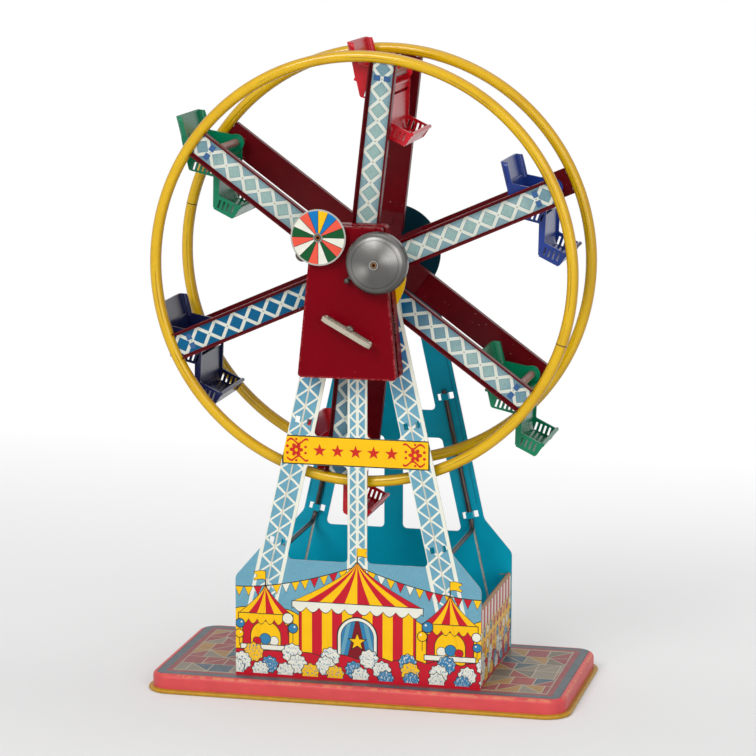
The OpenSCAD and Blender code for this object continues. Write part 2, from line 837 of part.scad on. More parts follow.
// Rod between the front and back spokes, with two folded tabs at each end
module gondola_rod(k) {
    color("rosybrown") at_spoke(k) {
        pin([rod_r, 0], rod_d, front_web + sheet / 2, back_web - sheet / 2);
        for (end = [0, 1], side = [0, 1])
            translate([rod_r, wheel_y, 0]) mirror([0, end, 0]) mirror([0, 0, side]) folded_tab();
    }
}

// Gondola seen from the front, with the rod at the origin: rings, seat, shin panel, foot tray and rail
ring_wall = 3.25;
ring_d = rod_d + 2 * ring_wall;
arm_top = 5.4;
apron_low = -13;
heel = [0.3, -foot_drop];
toe = heel + foot_drop * [0.33, -0.163];
lip = toe + foot_drop * [0.14, 0.21];
knee = heel + foot_drop * [0.08, 0.24];
side_line = [
    [-21.8, 9], [-16.8, apron_low], [0.2, apron_low - 4], heel, toe, lip, knee, [4.4, -6], [3, arm_top],
    [-3, arm_top], [-17, 8]
];
side_round = [1, 2, 1, 2, 2, 1, 1.5, 0, 1, 4, 3];
seat_back = [-20.6, -1];
seat_front = [4.2, -5];
rest_foot = [-19.6, -3];
rest_head = [-21.9, 8.5];
rest_low = [-20.9, 6];
rest_lean = 14;
rest_wing = 5;
rest_round = 5;
shin_t = moulding + 1;
shin_top = [heel.x + moulding + 0.6, -5.5];
shin_low = [heel.x + moulding, -foot_drop + 1];
recess_side = 6;
recess_up = 11;
recess_low = -foot_drop + recess_up;
recess_top = -10;
rail_d = 2.6;
rail_in = 0.9;
slot_lean = 72;
seat_slots = 6;
seat_slot_at = [-13, -10.2];
seat_slot_step = [2.9, -0.55];
seat_slot_l = 5.4;
foot_slots = 4;
foot_slot_at = heel + [3.2, 3.4];
foot_slot_step = [2.9, -1.1];
foot_slot_l = 5.6;

// A slanted cut through both sides
module side_slot(at, l) {
    translate([at.x, 0, at.y]) rotate([0, -slot_lean, 0]) cube([l, gondola_w + 2, slot_w], center = true);
}

// A wall from side to side, from one point of the side view to another
module cross_wall(a, b, t) {
    slab(-gondola_w / 2, gondola_w / 2) translate(a) rotate(heading(a, b)) translate([0, -t])
        square([norm(b - a), t]);
}

// Back rest: a panel that leans back, curls forward at both ends and has round top corners
module back_rest() {
    half = gondola_w / 2;
    height = (back_top - rest_low.y) / cos(rest_lean);
    face_line = [[-half, 0], [half, 0], [half, height], [-half, height]];
    translate([rest_low.x, 0, rest_low.y]) rotate([0, -rest_lean, 0]) intersection() {
        linear_extrude(height) {
            translate([-moulding, -half + rest_wing]) square([moulding, 2 * (half - rest_wing)]);
            for (s = [0, 1]) mirror([0, s]) translate([rest_wing - moulding, half - rest_wing]) difference() {
                intersection() {
                    circle(rest_wing);
                    translate([-rest_wing, 0]) square(rest_wing);
                }
                circle(rest_wing - moulding);
            }
        }
        translate([-2 * moulding, 0, 0]) rotate([90, 0, 90]) linear_extrude(rest_wing + 2 * moulding)
            polygon(rounded(face_line, [0, 0, rest_round, rest_round]));
    }
}

// Gondola: a moulded chair with slotted sides, a back rest, a shin panel and a foot tray
module chair() {
    half = gondola_w / 2;
    difference() {
        union() {
            for (y = [-half, half - moulding]) slab(y, y + moulding) {
                polygon(rounded(side_line, side_round));
                circle(d = ring_d);
            }
            cross_wall(seat_back, seat_front, moulding);
            cross_wall(rest_foot, rest_head, moulding);
            cross_wall(shin_top, shin_low, shin_t);
            cross_wall(heel + [0, moulding], toe + [0, moulding], moulding);
            cross_wall(lip, toe + [0, 1], moulding);
            slab(-half, half) translate(lip - [rail_in, 0]) circle(d = rail_d);
            back_rest();
        }
        slab(-half - 1, half + 1) circle(d = rod_d + 2 * run);
        for (i = [0:seat_slots - 1]) side_slot(seat_slot_at + i * seat_slot_step, seat_slot_l);
        for (i = [0:foot_slots - 1]) side_slot(foot_slot_at + i * foot_slot_step, foot_slot_l);
        translate([shin_top.x, -half + recess_side, recess_low])
            cube([shin_t, gondola_w - 2 * recess_side, recess_top - recess_low]);
    }
}

module gondola(k) {
    at = polar(rod_r, wheel_turn + 60 * (k - 1)) + axle_at;
    color(chair_colours[k - 1]) translate([at.x, wheel_y, at.y]) chair();
}

// Middle wheel of the spinner's train: a wheel and a pinion on one arbor
module middle_wheel() {
    color("goldenrod") {
        pin(middle_at, pivot_d, cover_y, plate_y);
        slab(layer_gear - 0.2, layer_gear + gear_t + 0.2) translate(middle_at)
            polygon(gear(small_teeth, train_module, heading(middle_at, axle_at) + 180 / small_teeth));
        slab(layer_great, layer_great + gear_t) translate(middle_at)
            polygon(gear(middle_teeth, train_module, heading(middle_at, spinner_at)));
    }
}

module spinner_shaft() {
    color("silver") {
        pin(spinner_at, pivot_d, spinner_y - spinner_t - 1, plate_y);
        slab(layer_great - 0.6, layer_great + gear_t + 0.6) translate(spinner_at)
            polygon(gear(small_teeth, train_module, heading(spinner_at, middle_at) + 180 / small_teeth));
        pin(spinner_at, collar_d, spinner_y, spinner_y + 2);
        pin(spinner_at, collar_d, spinner_y - spinner_t - 0.8, spinner_y - spinner_t);
    }
}

module spinner_disc() {
    color("tomato") slab(spinner_y - spinner_t, spinner_y) translate(spinner_at) difference() {
        circle(d = spinner_d);
        circle(d = pivot_d);
    }
}

// Striker: an arm lifted by the cam, with a stem through the cover to a ball at the bell's edge
module bell_striker() {
    bend = [strike_from.x, stem_y, strike_from.y];
    ball = [ball_at.x, ball_y, ball_at.y];
    color("silver") {
        slab(layer_striker, layer_striker + gear_t) difference() {
            union() {
                link(strike_pivot, strike_from, arm_w);
                translate(strike_pivot) circle(d = arm_w + 2);
            }
            translate(strike_pivot) circle(d = stud_d + 2 * run);
        }
        pin(strike_from, stem_d, stem_y, layer_striker + gear_t / 2);
        translate(bend) sphere(d = stem_d + 0.6);
        toward(bend, ball) {
            cylinder(d = stem_d - 0.2, h = norm(ball - bend));
            translate([0, 0, norm(ball - bend)]) sphere(d = ball_d);
        }
    }
}

// Stop lever: a finger ring outside and a pin inside that brakes the middle wheel
module stop_lever() {
    finger = lever_pivot + polar(finger_reach, finger_turn);
    ring_d = 8.8;
    color("gray") {
        slab(lever_y - gear_t, lever_y) difference() {
            union() {
                link(lever_pivot, lever_ring, 3.2);
                link(lever_pivot, finger, 3);
                translate(lever_pivot) circle(d = lever_hub_d);
                translate(lever_ring) circle(d = ring_d);
            }
            translate(lever_ring) circle(d = ring_d - 3.6);
            translate(lever_pivot) circle(d = stud_d + 2 * run);
        }
        pin(finger, finger_d, lever_y - 0.2, layer_great + gear_t);
    }
}

base_tray();
front_panel();
back_panel();
left_side_wall();
right_side_wall();
left_spreader_wire();
right_spreader_wire();
motor_back_plate();
motor_cover();
motor_pillars();
axle_bushes();
mainspring();
bell_post();
bell_gong();
pivot_studs();
winding_arbor();
key_handle();
ratchet_wheel();
great_wheel();
click();
click_spring();
wheel_axle();
axle_pinion();
axle_gear();
strike_cam();
front_hub();
back_hub();
front_rim();
back_rim();
spoke_rivets();
for (k = [1:6]) front_spoke(k);
for (k = [1:6]) back_spoke(k);
for (k = [1:6]) gondola_rod(k);
for (k = [1:6]) gondola(k);
middle_wheel();
spinner_shaft();
spinner_disc();
bell_striker();
stop_lever();
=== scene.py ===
import json
import math

import bpy
import numpy as np
from mathutils import Matrix, Vector


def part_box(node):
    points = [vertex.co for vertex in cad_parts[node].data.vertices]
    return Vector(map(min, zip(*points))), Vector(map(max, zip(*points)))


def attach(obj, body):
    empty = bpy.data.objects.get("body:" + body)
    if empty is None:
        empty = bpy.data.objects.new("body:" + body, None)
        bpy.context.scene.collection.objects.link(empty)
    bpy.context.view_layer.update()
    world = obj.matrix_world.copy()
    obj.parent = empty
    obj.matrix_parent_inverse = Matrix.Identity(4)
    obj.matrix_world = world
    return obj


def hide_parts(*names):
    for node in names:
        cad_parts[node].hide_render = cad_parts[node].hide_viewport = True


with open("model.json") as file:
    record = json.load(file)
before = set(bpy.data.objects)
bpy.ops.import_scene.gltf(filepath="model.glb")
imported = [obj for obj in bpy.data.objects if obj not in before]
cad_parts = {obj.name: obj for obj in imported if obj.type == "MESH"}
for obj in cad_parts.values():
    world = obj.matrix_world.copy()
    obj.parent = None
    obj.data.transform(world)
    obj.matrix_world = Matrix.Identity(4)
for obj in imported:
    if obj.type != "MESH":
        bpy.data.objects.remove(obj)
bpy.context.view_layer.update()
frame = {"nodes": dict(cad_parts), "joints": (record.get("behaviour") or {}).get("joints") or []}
nodes = frame["nodes"]
mm = 0.001
perRadian = 180 / math.pi  # degrees in a radian
print("frame loaded:", len(nodes), "nodes")


class Wire:
    # one output socket in a material; arithmetic on it adds Math nodes to the tree
    def __init__(self, tree, socket):
        self.tree = tree
        self.socket = socket

    def make(self, kind, settings=None, links=None, out=0):
        # any node: its settings are set first, then its sockets get their values or links
        node = self.tree.nodes.new(kind)
        for name, value in (settings or {}).items():
            if name == "stops":
                setStops(node.color_ramp, value)
            else:
                setattr(node, name, value)
        for key, value in (links or {}).items():
            if isinstance(value, Wire):
                self.tree.links.new(value.socket, node.inputs[key])
            else:
                node.inputs[key].default_value = value
        return Wire(self.tree, node.outputs[out])

    def calc(self, operation, *terms, clamp=False):
        settings = {"operation": operation, "use_clamp": clamp}
        return self.make("ShaderNodeMath", settings, dict(enumerate(terms)))

    def __add__(self, other):
        return self.calc("ADD", self, other)

    def __radd__(self, other):
        return self.calc("ADD", other, self)

    def __sub__(self, other):
        return self.calc("SUBTRACT", self, other)

    def __rsub__(self, other):
        return self.calc("SUBTRACT", other, self)

    def __mul__(self, other):
        return self.calc("MULTIPLY", self, other)

    def __rmul__(self, other):
        return self.calc("MULTIPLY", other, self)

    def __truediv__(self, other):
        return self.calc("DIVIDE", self, other)

    def __rtruediv__(self, other):
        return self.calc("DIVIDE", other, self)

    def __mod__(self, other):
        return self.calc("FLOORED_MODULO", self, other)

    def __pow__(self, other):
        return self.calc("POWER", self, other)

    def __neg__(self):
        return self.calc("MULTIPLY", self, -1.0)

    def __abs__(self):
        return self.calc("ABSOLUTE", self)

    def __lt__(self, other):
        return self.calc("LESS_THAN", self, other)

    def __gt__(self, other):
        return self.calc("GREATER_THAN", self, other)

    def __and__(self, other):
        # the smaller of two; of two distances, that of the shapes joined
        return self.calc("MINIMUM", self, other)

    def __or__(self, other):
        # the larger of two; of two distances, that of what the shapes share
        return self.calc("MAXIMUM", self, other)

    def sin(self):
        return self.calc("SINE", self)

    def cos(self):
        return self.calc("COSINE", self)

    def floor(self):
        return self.calc("FLOOR", self)

    def clamp(self):
        return self.calc("MULTIPLY", self, 1.0, clamp=True)

    def inside(self, soft=0.12):
        # 1 where this distance is below zero, with a soft edge of that width in millimetres
        return self.calc("MULTIPLY_ADD", self, -1.0 / soft, 0.5, clamp=True)


def setStops(ramp, stops):
    # flat steps of colour, each from its own place up to the next
    ramp.interpolation = "CONSTANT"
    while len(ramp.elements) > 1:
        ramp.elements.remove(ramp.elements[-1])
    for k, (place, colour) in enumerate(stops):
        element = ramp.elements[0] if k == 0 else ramp.elements.new(place)
        element.position = place
        element.color = colour


def ink(r, g, b):
    # a printed colour given as 0 to 255, made linear
    part = np.array([r, g, b]) / 255
    linear = np.where(part < 0.04045, part / 12.92, ((part + 0.055) / 1.055) ** 2.4)
    return (*map(float, linear), 1.0)


def mix(mask, below, above, blend="MIX"):
    # the colour above where the mask is 1, and the colour below where it is 0; sockets 6 and 7 hold colours
    wire = next(w for w in (mask, below, above) if isinstance(w, Wire))
    settings = {"data_type": "RGBA", "blend_type": blend}
    return wire.make("ShaderNodeMix", settings, {0: mask, 6: below, 7: above}, 2)


def tint(mask, colour, shade):
    # the colour multiplied by a shade where the mask is 1
    return mix(mask, colour, shade, "MULTIPLY")


def pickInk(value, stops):
    # one flat colour, by where the value falls among the stops
    return value.make("ShaderNodeValToRGB", {"stops": stops}, {0: value})


def noise(where, scale, detail=2.0, rough=0.5):
    # smooth noise from 0 to 1; scale is waves per millimetre
    links = {"Vector": where, "Scale": scale, "Detail": detail, "Roughness": rough}
    return where.make("ShaderNodeTexNoise", None, links)


def cellRandom(where):
    # one random number for each whole-number cell
    return where.make("ShaderNodeTexWhiteNoise", {"noise_dimensions": "3D"}, {"Vector": where})


def point(x, y, z=0.0):
    # a vector from three numbers
    wire = next(w for w in (x, y, z) if isinstance(w, Wire))
    return wire.make("ShaderNodeCombineXYZ", None, {0: x, 1: y, 2: z})


def lengthOf(x, z):
    # how far a place is from the origin, by Pythagoras
    return x.calc("SQRT", x * x + z * z)


def angleOf(up, along):
    # angle in radians, from the second coordinate towards the first
    return up.calc("ARCTAN2", up, along)


def startFinish(name, **constants):
    # a material with one Principled shader, and the piece's own coordinates in millimetres
    material = bpy.data.materials.new(name)
    material.use_nodes = True
    tree = material.node_tree
    shader = tree.nodes["Principled BSDF"]
    for key, value in constants.items():
        shader.inputs[key.replace("_", " ")].default_value = value
    texture = tree.nodes.new("ShaderNodeTexCoord")
    metres = Wire(tree, texture.outputs["Object"])
    where = metres.make("ShaderNodeVectorMath", {"operation": "SCALE"}, {0: metres, "Scale": 1 / mm})
    split = where.make("ShaderNodeSeparateXYZ", None, {0: where})
    axes = [Wire(tree, split.socket.node.outputs[k]) for k in range(3)]
    return material, shader, where, *axes


def feed(shader, **links):
    # wires into the shader's sockets, with a low line for each space in a socket's name
    for key, wire in links.items():
        wire.tree.links.new(wire.socket, shader.inputs[key.replace("_", " ")])


def bumpOf(height, distance, strength):
    # height in units of the given distance, in millimetres
    links = {"Height": height, "Distance": distance * mm, "Strength": strength}
    return height.make("ShaderNodeBump", None, links)


def paint(names, material):
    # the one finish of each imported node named
    for name in names:
        mesh = nodes[name].data
        mesh.materials.clear()
        mesh.materials.append(material)


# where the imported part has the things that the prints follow, in millimetres
joints = {j["name"]: np.array(j["pos_m"]) / mm for j in frame["joints"]}
axle, spinnerAxis = joints["wheel_spin"], joints["spinner_turn"]
firstRod = joints["gondola_1_swing"] - axle
wheelTurn = math.degrees(math.atan2(firstRod[2], firstRod[0]))
trayLow, trayHigh = (np.array(c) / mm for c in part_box("base_tray"))
bellLow, bellHigh = (np.array(c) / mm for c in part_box("bell_gong"))
bellMiddle = (bellLow + bellHigh) / 2
frontWeb, backWeb = (sum(c[1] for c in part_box(n)) / 2 / mm for n in ("front_rim", "back_rim"))
panelOut = 53.0  # outer face of each tower panel, from the middle
sheet = 0.8  # thickness of the tin

# colours of the printed tin
white = ink(222, 222, 208)
yellow = ink(238, 186, 6)
red = ink(188, 18, 40)
dark = ink(38, 34, 32)
skyBlue = ink(96, 152, 174)
deepBlue = ink(4, 92, 144)
printBlue = ink(48, 120, 164)
teal = ink(0, 174, 204)
bareTin = ink(120, 112, 100)

wear = {"chipScale": 0.55, "patchScale": 0.06, "patchCut": 0.52, "ragged": 0.65, "sharp": 14.0,
        "glossScale": 0.22, "glossSwing": 0.22, "chip": ink(96, 84, 72),
        "mottleScale": 0.09, "mottleFrom": 0.35, "mottleGain": 6.0, "mottle": ink(188, 182, 172),
        "waveScale": 0.035, "waveDeep": 0.35, "waveShare": 0.5, "chipDeep": 0.04}


def specks(where, scale, cut):
    # small ragged spots where the noise passes the cut
    return ((noise(where, scale, 4.0, wear["ragged"]) - cut) * wear["sharp"]).clamp()


def chipsOf(where, cut):
    # tiny chips that gather in patches
    return specks(where, wear["chipScale"], cut) & specks(where, wear["patchScale"], wear["patchCut"])


def unevenGloss(where, rough):
    # roughness that swings about its mean
    swing = wear["glossSwing"]
    return noise(where, wear["glossScale"], 3.0) * swing + (rough - swing / 2)


def wornTin(shader, where, colour, rough=0.34, chip=wear["chip"], chips=0.70, grain=0.10):
    # varnished tin plate: faint mottling, tiny chips down to the metal, uneven gloss and a slightly wavy face
    mottle = (noise(where, wear["mottleScale"], 3.0) - wear["mottleFrom"]).clamp()
    colour = tint(mottle * grain * wear["mottleGain"], colour, wear["mottle"])
    chipped = chipsOf(where, chips)
    feed(shader, Base_Color=mix(chipped, colour, chip), Roughness=unevenGloss(where, rough))
    height = noise(where, wear["waveScale"], 2.0) - chipped * wear["chipDeep"]
    feed(shader, Normal=bumpOf(height, wear["waveDeep"], wear["waveShare"]))


def waveOf(along, pitch):
    # triangle wave from 1 down to 0 and back over one pitch
    return abs((along / pitch) % 1.0 - 0.5) * 2.0


def girder(across, along, half, pitch, line):
    # crossed bars between two edge bars: the distance across equals a triangle wave along
    slope = math.cos(math.atan(2 * half / pitch))
    bars = (abs(abs(across) - waveOf(along, pitch) * half) * slope - line / 2).inside()
    return bars | (half - abs(across)).inside()


def starAt(x, z, reach):
    # five-pointed star: distance to the straight edge between a tip and its neighbouring valley
    inner, fold = 0.42 * reach, math.radians(36)
    bend = abs((angleOf(x, z) + fold) % (2 * fold) - fold)
    normal = np.array([inner * math.sin(fold), reach - inner * math.cos(fold)])
    along, across = (float(part) for part in normal / np.linalg.norm(normal))
    return lengthOf(x, z) * (bend.cos() * along + bend.sin() * across) - along * reach


def flowerAt(x, z, reach):
    # six round petals: the radius swings with the cosine of three times the angle, taken without its sign
    petal = abs((angleOf(z, x) * 3.0).cos()) * 0.45 + 0.55
    return lengthOf(x, z) - petal * reach


def dotAt(place, x, z, radius):
    # distance to the edge of a disc round a place
    links = {0: place, 1: (x, z, 0.0)}
    return place.make("ShaderNodeVectorMath", {"operation": "DISTANCE"}, links, 1) - radius


def archAt(side, v, up, radius):
    # a round-headed opening: a disc, joined to a straight-sided column below its middle
    return dotAt(point(side, v), 0.0, up, radius) & ((side - radius) | (v - up))


def scallop(x, pitch):
    # half-round tongues along x, from 0 at their corners to 1 at their tips
    return abs((x * (math.pi / pitch)).sin())


def stripes(x, pitch):
    # 0 and 1 in turn, each for one pitch
    return (x / pitch) % 2.0 > 1.0


def outlined(colour, distance, fill, line=0.55):
    # a filled shape with a dark key line round it
    return mix(distance.inside(), mix((distance - line).inside(), colour, dark), fill)


tentRoof = {"bow": 1.35, "tip": 0.6, "tongue": 3.2, "drop": 3.4, "over": 0.8}


def canopy(colour, x, v, tent, first, second, valance):
    # a round tent roof: its half width falls with height, and its gores are even shares of that width
    half, eave, peak, gores = (tent[k] for k in ("half", "eave", "peak", "gores"))
    up = ((v - eave) / (peak - eave)).clamp()
    width = (1.0 - up) ** tentRoof["bow"] * half + tentRoof["tip"]
    roof = (abs(x) - width) | (eave - v) | (v - peak)
    gore = (x / width * (gores / 2)) % 2.0 > 1.0
    colour = outlined(colour, roof, mix(gore, first, second))
    hang = eave - scallop(x, 2 * half / gores) * tentRoof["tongue"] - tentRoof["drop"]
    skirt = (abs(x) - half - tentRoof["over"]) | (v - eave) | (hang - v)
    return outlined(colour, skirt, valance)


pole = {"half": 0.4, "sink": 1.0, "size": 6.0, "long": 1.9, "up": 1.35, "fly": 1.25, "deep": 0.45,
        "notch": 0.28, "cut": 0.3, "ripple": 3.6, "rippleUp": 0.08}


def pennant(colour, x, v, peak):
    # a pole on a tent's peak and a swallow-tailed flag that flies to the right, in shares of its size
    p = pole
    foot, size = peak - p["sink"], p["size"]
    staff = (abs(x) - p["half"]) | (foot - v) | (v - foot - size * p["long"])
    off = abs(v - foot - size * p["up"] - (x * (p["ripple"] / size)).sin() * (size * p["rippleUp"]))
    tail = x - size * p["fly"] + (size * p["notch"] - off).clamp() * (size * p["cut"])
    flag = (off - size * p["deep"]) | tail | -x
    return outlined(mix(staff.inside(), colour, dark), flag, yellow, 0.4)


bunting = {"low": 60.0, "rise": 18.0, "reach": 80.0, "sag": 1.7, "cord": 0.3, "flag": 6.4, "half": 2.7,
           "taper": 0.44, "inks": ((0.0, red), (0.35, yellow), (0.7, white))}


def buntingOn(colour, x, v):
    # flags on a cord that falls from the middle to both sides, as a power of the reach that is left
    b = bunting
    side = abs(x)
    drop = (1.0 - side / b["reach"]).clamp() ** b["sag"] * b["rise"] + b["low"] - v
    cell = side / b["flag"]
    flag = (abs(cell % 1.0 - 0.5) * b["flag"] + drop * b["taper"] - b["half"]) | -drop
    chance = cellRandom(point(cell.floor(), x > 0.0))
    colour = outlined(colour, flag, pickInk(chance, b["inks"]), 0.3)
    return mix((abs(drop) - b["cord"]).inside(), colour, dark)


kiosk = {"at": 62.0, "half": 17.5, "eave": 42.0, "peak": 61.0, "gores": 6, "wallIn": 2.0,
         "opening": (27.0, 10.0), "counterIn": 0.6, "counterUp": 19.6, "counterHalf": 1.5,
         "wares": ((-5.6, 24.0, 3.0, white), (0.4, 25.2, 3.6, printBlue), (6.0, 23.6, 2.6, red))}


def kiosksOn(colour, x, v):
    # a kiosk on each side: a red box with a round-headed opening, wares, a counter and a tent roof
    k = kiosk
    off = abs(x) - k["at"]
    side = abs(off)
    colour = outlined(colour, (side - k["half"] + k["wallIn"]) | (v - k["eave"]), red)
    colour = outlined(colour, archAt(side, v, *k["opening"]), yellow)
    for along, up, radius, tone in k["wares"]:
        colour = outlined(colour, dotAt(point(off, v), along, up, radius), tone, 0.4)
    counter = (side - k["half"] + k["counterIn"]) | (abs(v - k["counterUp"]) - k["counterHalf"])
    colour = outlined(colour, counter, white)
    colour = canopy(colour, off, v, k, yellow, red, yellow)
    return pennant(colour, off, v, k["peak"])


bigTop = {"half": 43.0, "eave": 52.0, "peak": 80.0, "gores": 10, "wallIn": 4.0, "stripe": 6.8,
          "door": (30.0, 13.0), "curtainIn": 2.2, "fold": 2.6, "drape": 0.22, "parting": 8.6, "partFoot": 6.0,
          "starUp": 27.0, "star": 5.4}


def bigTopOn(colour, x, v):
    # the large tent: striped wall, a doorway with parted curtains, a star and a roof
    b = bigTop
    side = abs(x)
    wall = (side - b["half"] + b["wallIn"]) | (v - b["eave"])
    colour = outlined(colour, wall, mix(stripes(x + b["stripe"] / 2, b["stripe"]), red, yellow))
    door = archAt(side, v, *b["door"])
    colour = outlined(colour, door, white, 0.9)
    curtain = door + b["curtainIn"]
    folds = stripes(side + v * b["drape"], b["fold"])
    colour = outlined(colour, curtain, mix(folds, printBlue, skyBlue), 0.4)
    within = (side - b["parting"] + (v - b["partFoot"]) * b["drape"]) | curtain
    colour = outlined(colour, within, ink(120, 14, 28), 0.4)
    colour = outlined(colour, starAt(x, v - b["starUp"], b["star"]), yellow)
    colour = canopy(colour, x, v, b, red, yellow, white)
    return pennant(colour, x, v, b["peak"])


# place on each half, radius, and the colours on the left and on the right half
balloons = (((47.0, 40.0), 3.4, white, printBlue), ((79.5, 35.0), 2.8, printBlue, white),
            ((43.5, 33.5), 3.0, printBlue, yellow), ((80.0, 28.0), 2.6, yellow, printBlue))
balloonForm = {"string": 0.22, "stringLong": 3.2, "shineAt": 0.35, "shine": 0.22}


def balloonsOn(colour, x, v):
    # discs on strings with a round shine, whose place and size are shares of the radius
    f = balloonForm
    side = abs(x)
    spot = point(side, v)
    for (across, up), radius, left, right in balloons:
        string = (abs(side - across) - f["string"]) | (v - up) | (up - f["stringLong"] * radius - v)
        colour = mix(string.inside(), colour, dark)
        colour = outlined(colour, dotAt(spot, across, up, radius), mix(x > 0.0, left, right))
        move = radius * f["shineAt"]
        shine = dotAt(spot, across - move, up + move, radius * f["shine"])
        colour = mix(shine.inside(), colour, white)
    return colour


# rows: pitch, height, shift as a share of the pitch, and least radius
bushes = {"rows": ((26.0, 15.0, 0.2, 5.6), (19.0, 8.0, 0.63, 5.4), (17.0, 3.2, 0.37, 5.0)),
          "inks": ((0.0, printBlue), (0.36, white), (0.62, yellow), (0.84, white)), "blueTo": 0.36,
          "lift": 1.6, "grow": 0.8, "lobes": 9.0, "lobe": 0.45, "hump": 23.0, "humpUp": 2.5, "foot": 1.6,
          "leafStretch": 1.6, "leafScale": 0.62, "leafCut": 0.53, "leaf": 0.9}


def hedge(colour, x, v, bank):
    # round bushes in rows on a red bank: discs with wavy edges, of random size and ink, with leaf strokes
    b = bushes
    colour = outlined(colour, v - bank - scallop(x, b["hump"]) * b["humpUp"], red)
    for pitch, height, shift, reach in b["rows"]:
        u = x / pitch + shift
        chance = cellRandom(point(u.floor(), height))
        across, up = (u % 1.0 - 0.5) * pitch, v - height - chance * b["lift"]
        wobble = (angleOf(up, across) * b["lobes"]).sin() * b["lobe"]
        bush = lengthOf(across, up) - wobble - (chance * b["grow"] + reach)
        leaves = specks(point(x * b["leafStretch"], v, height), b["leafScale"], b["leafCut"]) * b["leaf"]
        leafInk = mix(chance > b["blueTo"], white, printBlue)
        colour = outlined(colour, bush, mix(leaves, pickInk(chance, b["inks"]), leafInk), 0.5)
    return mix((v - b["foot"]).inside(), colour, red)


frieze = {"hillUp": 40.0, "hillRise": 6.0, "hillPitch": 27.0, "hillShift": 9.0, "bank": 15.0}


def fairground(colour, x, v):
    # the frieze on the box: bunting over yellow hills, a big top between two kiosks, balloons and a hedge
    f = frieze
    colour = buntingOn(colour, x, v)
    hills = v - f["hillUp"] - scallop(x + f["hillShift"], f["hillPitch"]) * f["hillRise"]
    colour = outlined(colour, hills, yellow)
    colour = kiosksOn(colour, x, v)
    colour = bigTopOn(colour, x, v)
    colour = balloonsOn(colour, x, v)
    return hedge(colour, x, v, f["bank"])


sign = {"at": -1.2, "low": 157.3, "top": 175.0, "half": 48.2, "edge": 1.0, "edgeUp": 9.6,
        "red": ink(196, 40, 24), "starPitch": 12.0, "star": 4.6, "starsTo": 30.0, "flowerAt": 39.6,
        "flower": 4.6, "eye": 1.1, "lineUp": 5.6, "lineHalf": 0.7, "lineFrom": 31.5, "lineTo": 46.0,
        "ripple": 0.62, "rippleUp": 1.5, "dots": ((45.6, 2.2, 1.0), (33.4, 2.0, 0.9), (39.6, 7.0, 0.8))}


def signOn(colour, x, z):
    # a yellow board with a dark edge: a row of stars, and at each end a flower between two wavy lines
    s = sign
    side, up = abs(x), z - (s["low"] + s["top"]) / 2
    spot = point(side, abs(up))
    board = (side - s["half"]) | (s["low"] - z) | (z - s["top"])
    edge = (side - s["half"] - s["edge"]) | (abs(up) - s["edgeUp"])
    colour = mix(edge.inside(), colour, dark)
    colour = mix(board.inside(), colour, yellow)
    pitch = s["starPitch"]
    stars = starAt((x + pitch / 2) % pitch - pitch / 2, up, s["star"]) | (side - s["starsTo"])
    wave = (side * s["ripple"]).sin() * s["rippleUp"]
    lines = abs(abs(up) - s["lineUp"] - wave) - s["lineHalf"]
    lines = lines | (s["lineFrom"] - side) | (side - s["lineTo"])
    eye = dotAt(spot, s["flowerAt"], 0.0, s["eye"])
    flower = flowerAt(side - s["flowerAt"], up, s["flower"]) | -eye
    ornament = stars & lines & flower
    for across, high, radius in s["dots"]:
        ornament = ornament & dotAt(spot, across, high, radius)
    return mix((ornament | board).inside(), colour, s["red"])


legs = {"foot": 85.5, "slope": 0.219, "width": 17.7, "shift": 0.8, "margin": 0.8, "half": 7.2, "pitch": 12.1,
        "line": 1.35, "spine": 0.5, "deepFrom": 196.0, "deepOver": 46.0}
middleLeg = {"foot": 86.0, "width": 13.0, "margin": 0.4, "half": 5.0, "pitch": 10.0, "line": 1.25,
             "spine": 0.95}
panel = {"headRadius": 32.3, "headFrom": 262.0, "boxTop": 102.5, "whiteFrom": 110.0, "whiteOver": 30.0,
         "creaseShade": 6.6, "creaseHalf": 0.3, "creaseFrom": 112.0, "paintedShadeFrom": 212.0, "paintedShadeOver": 50.0}


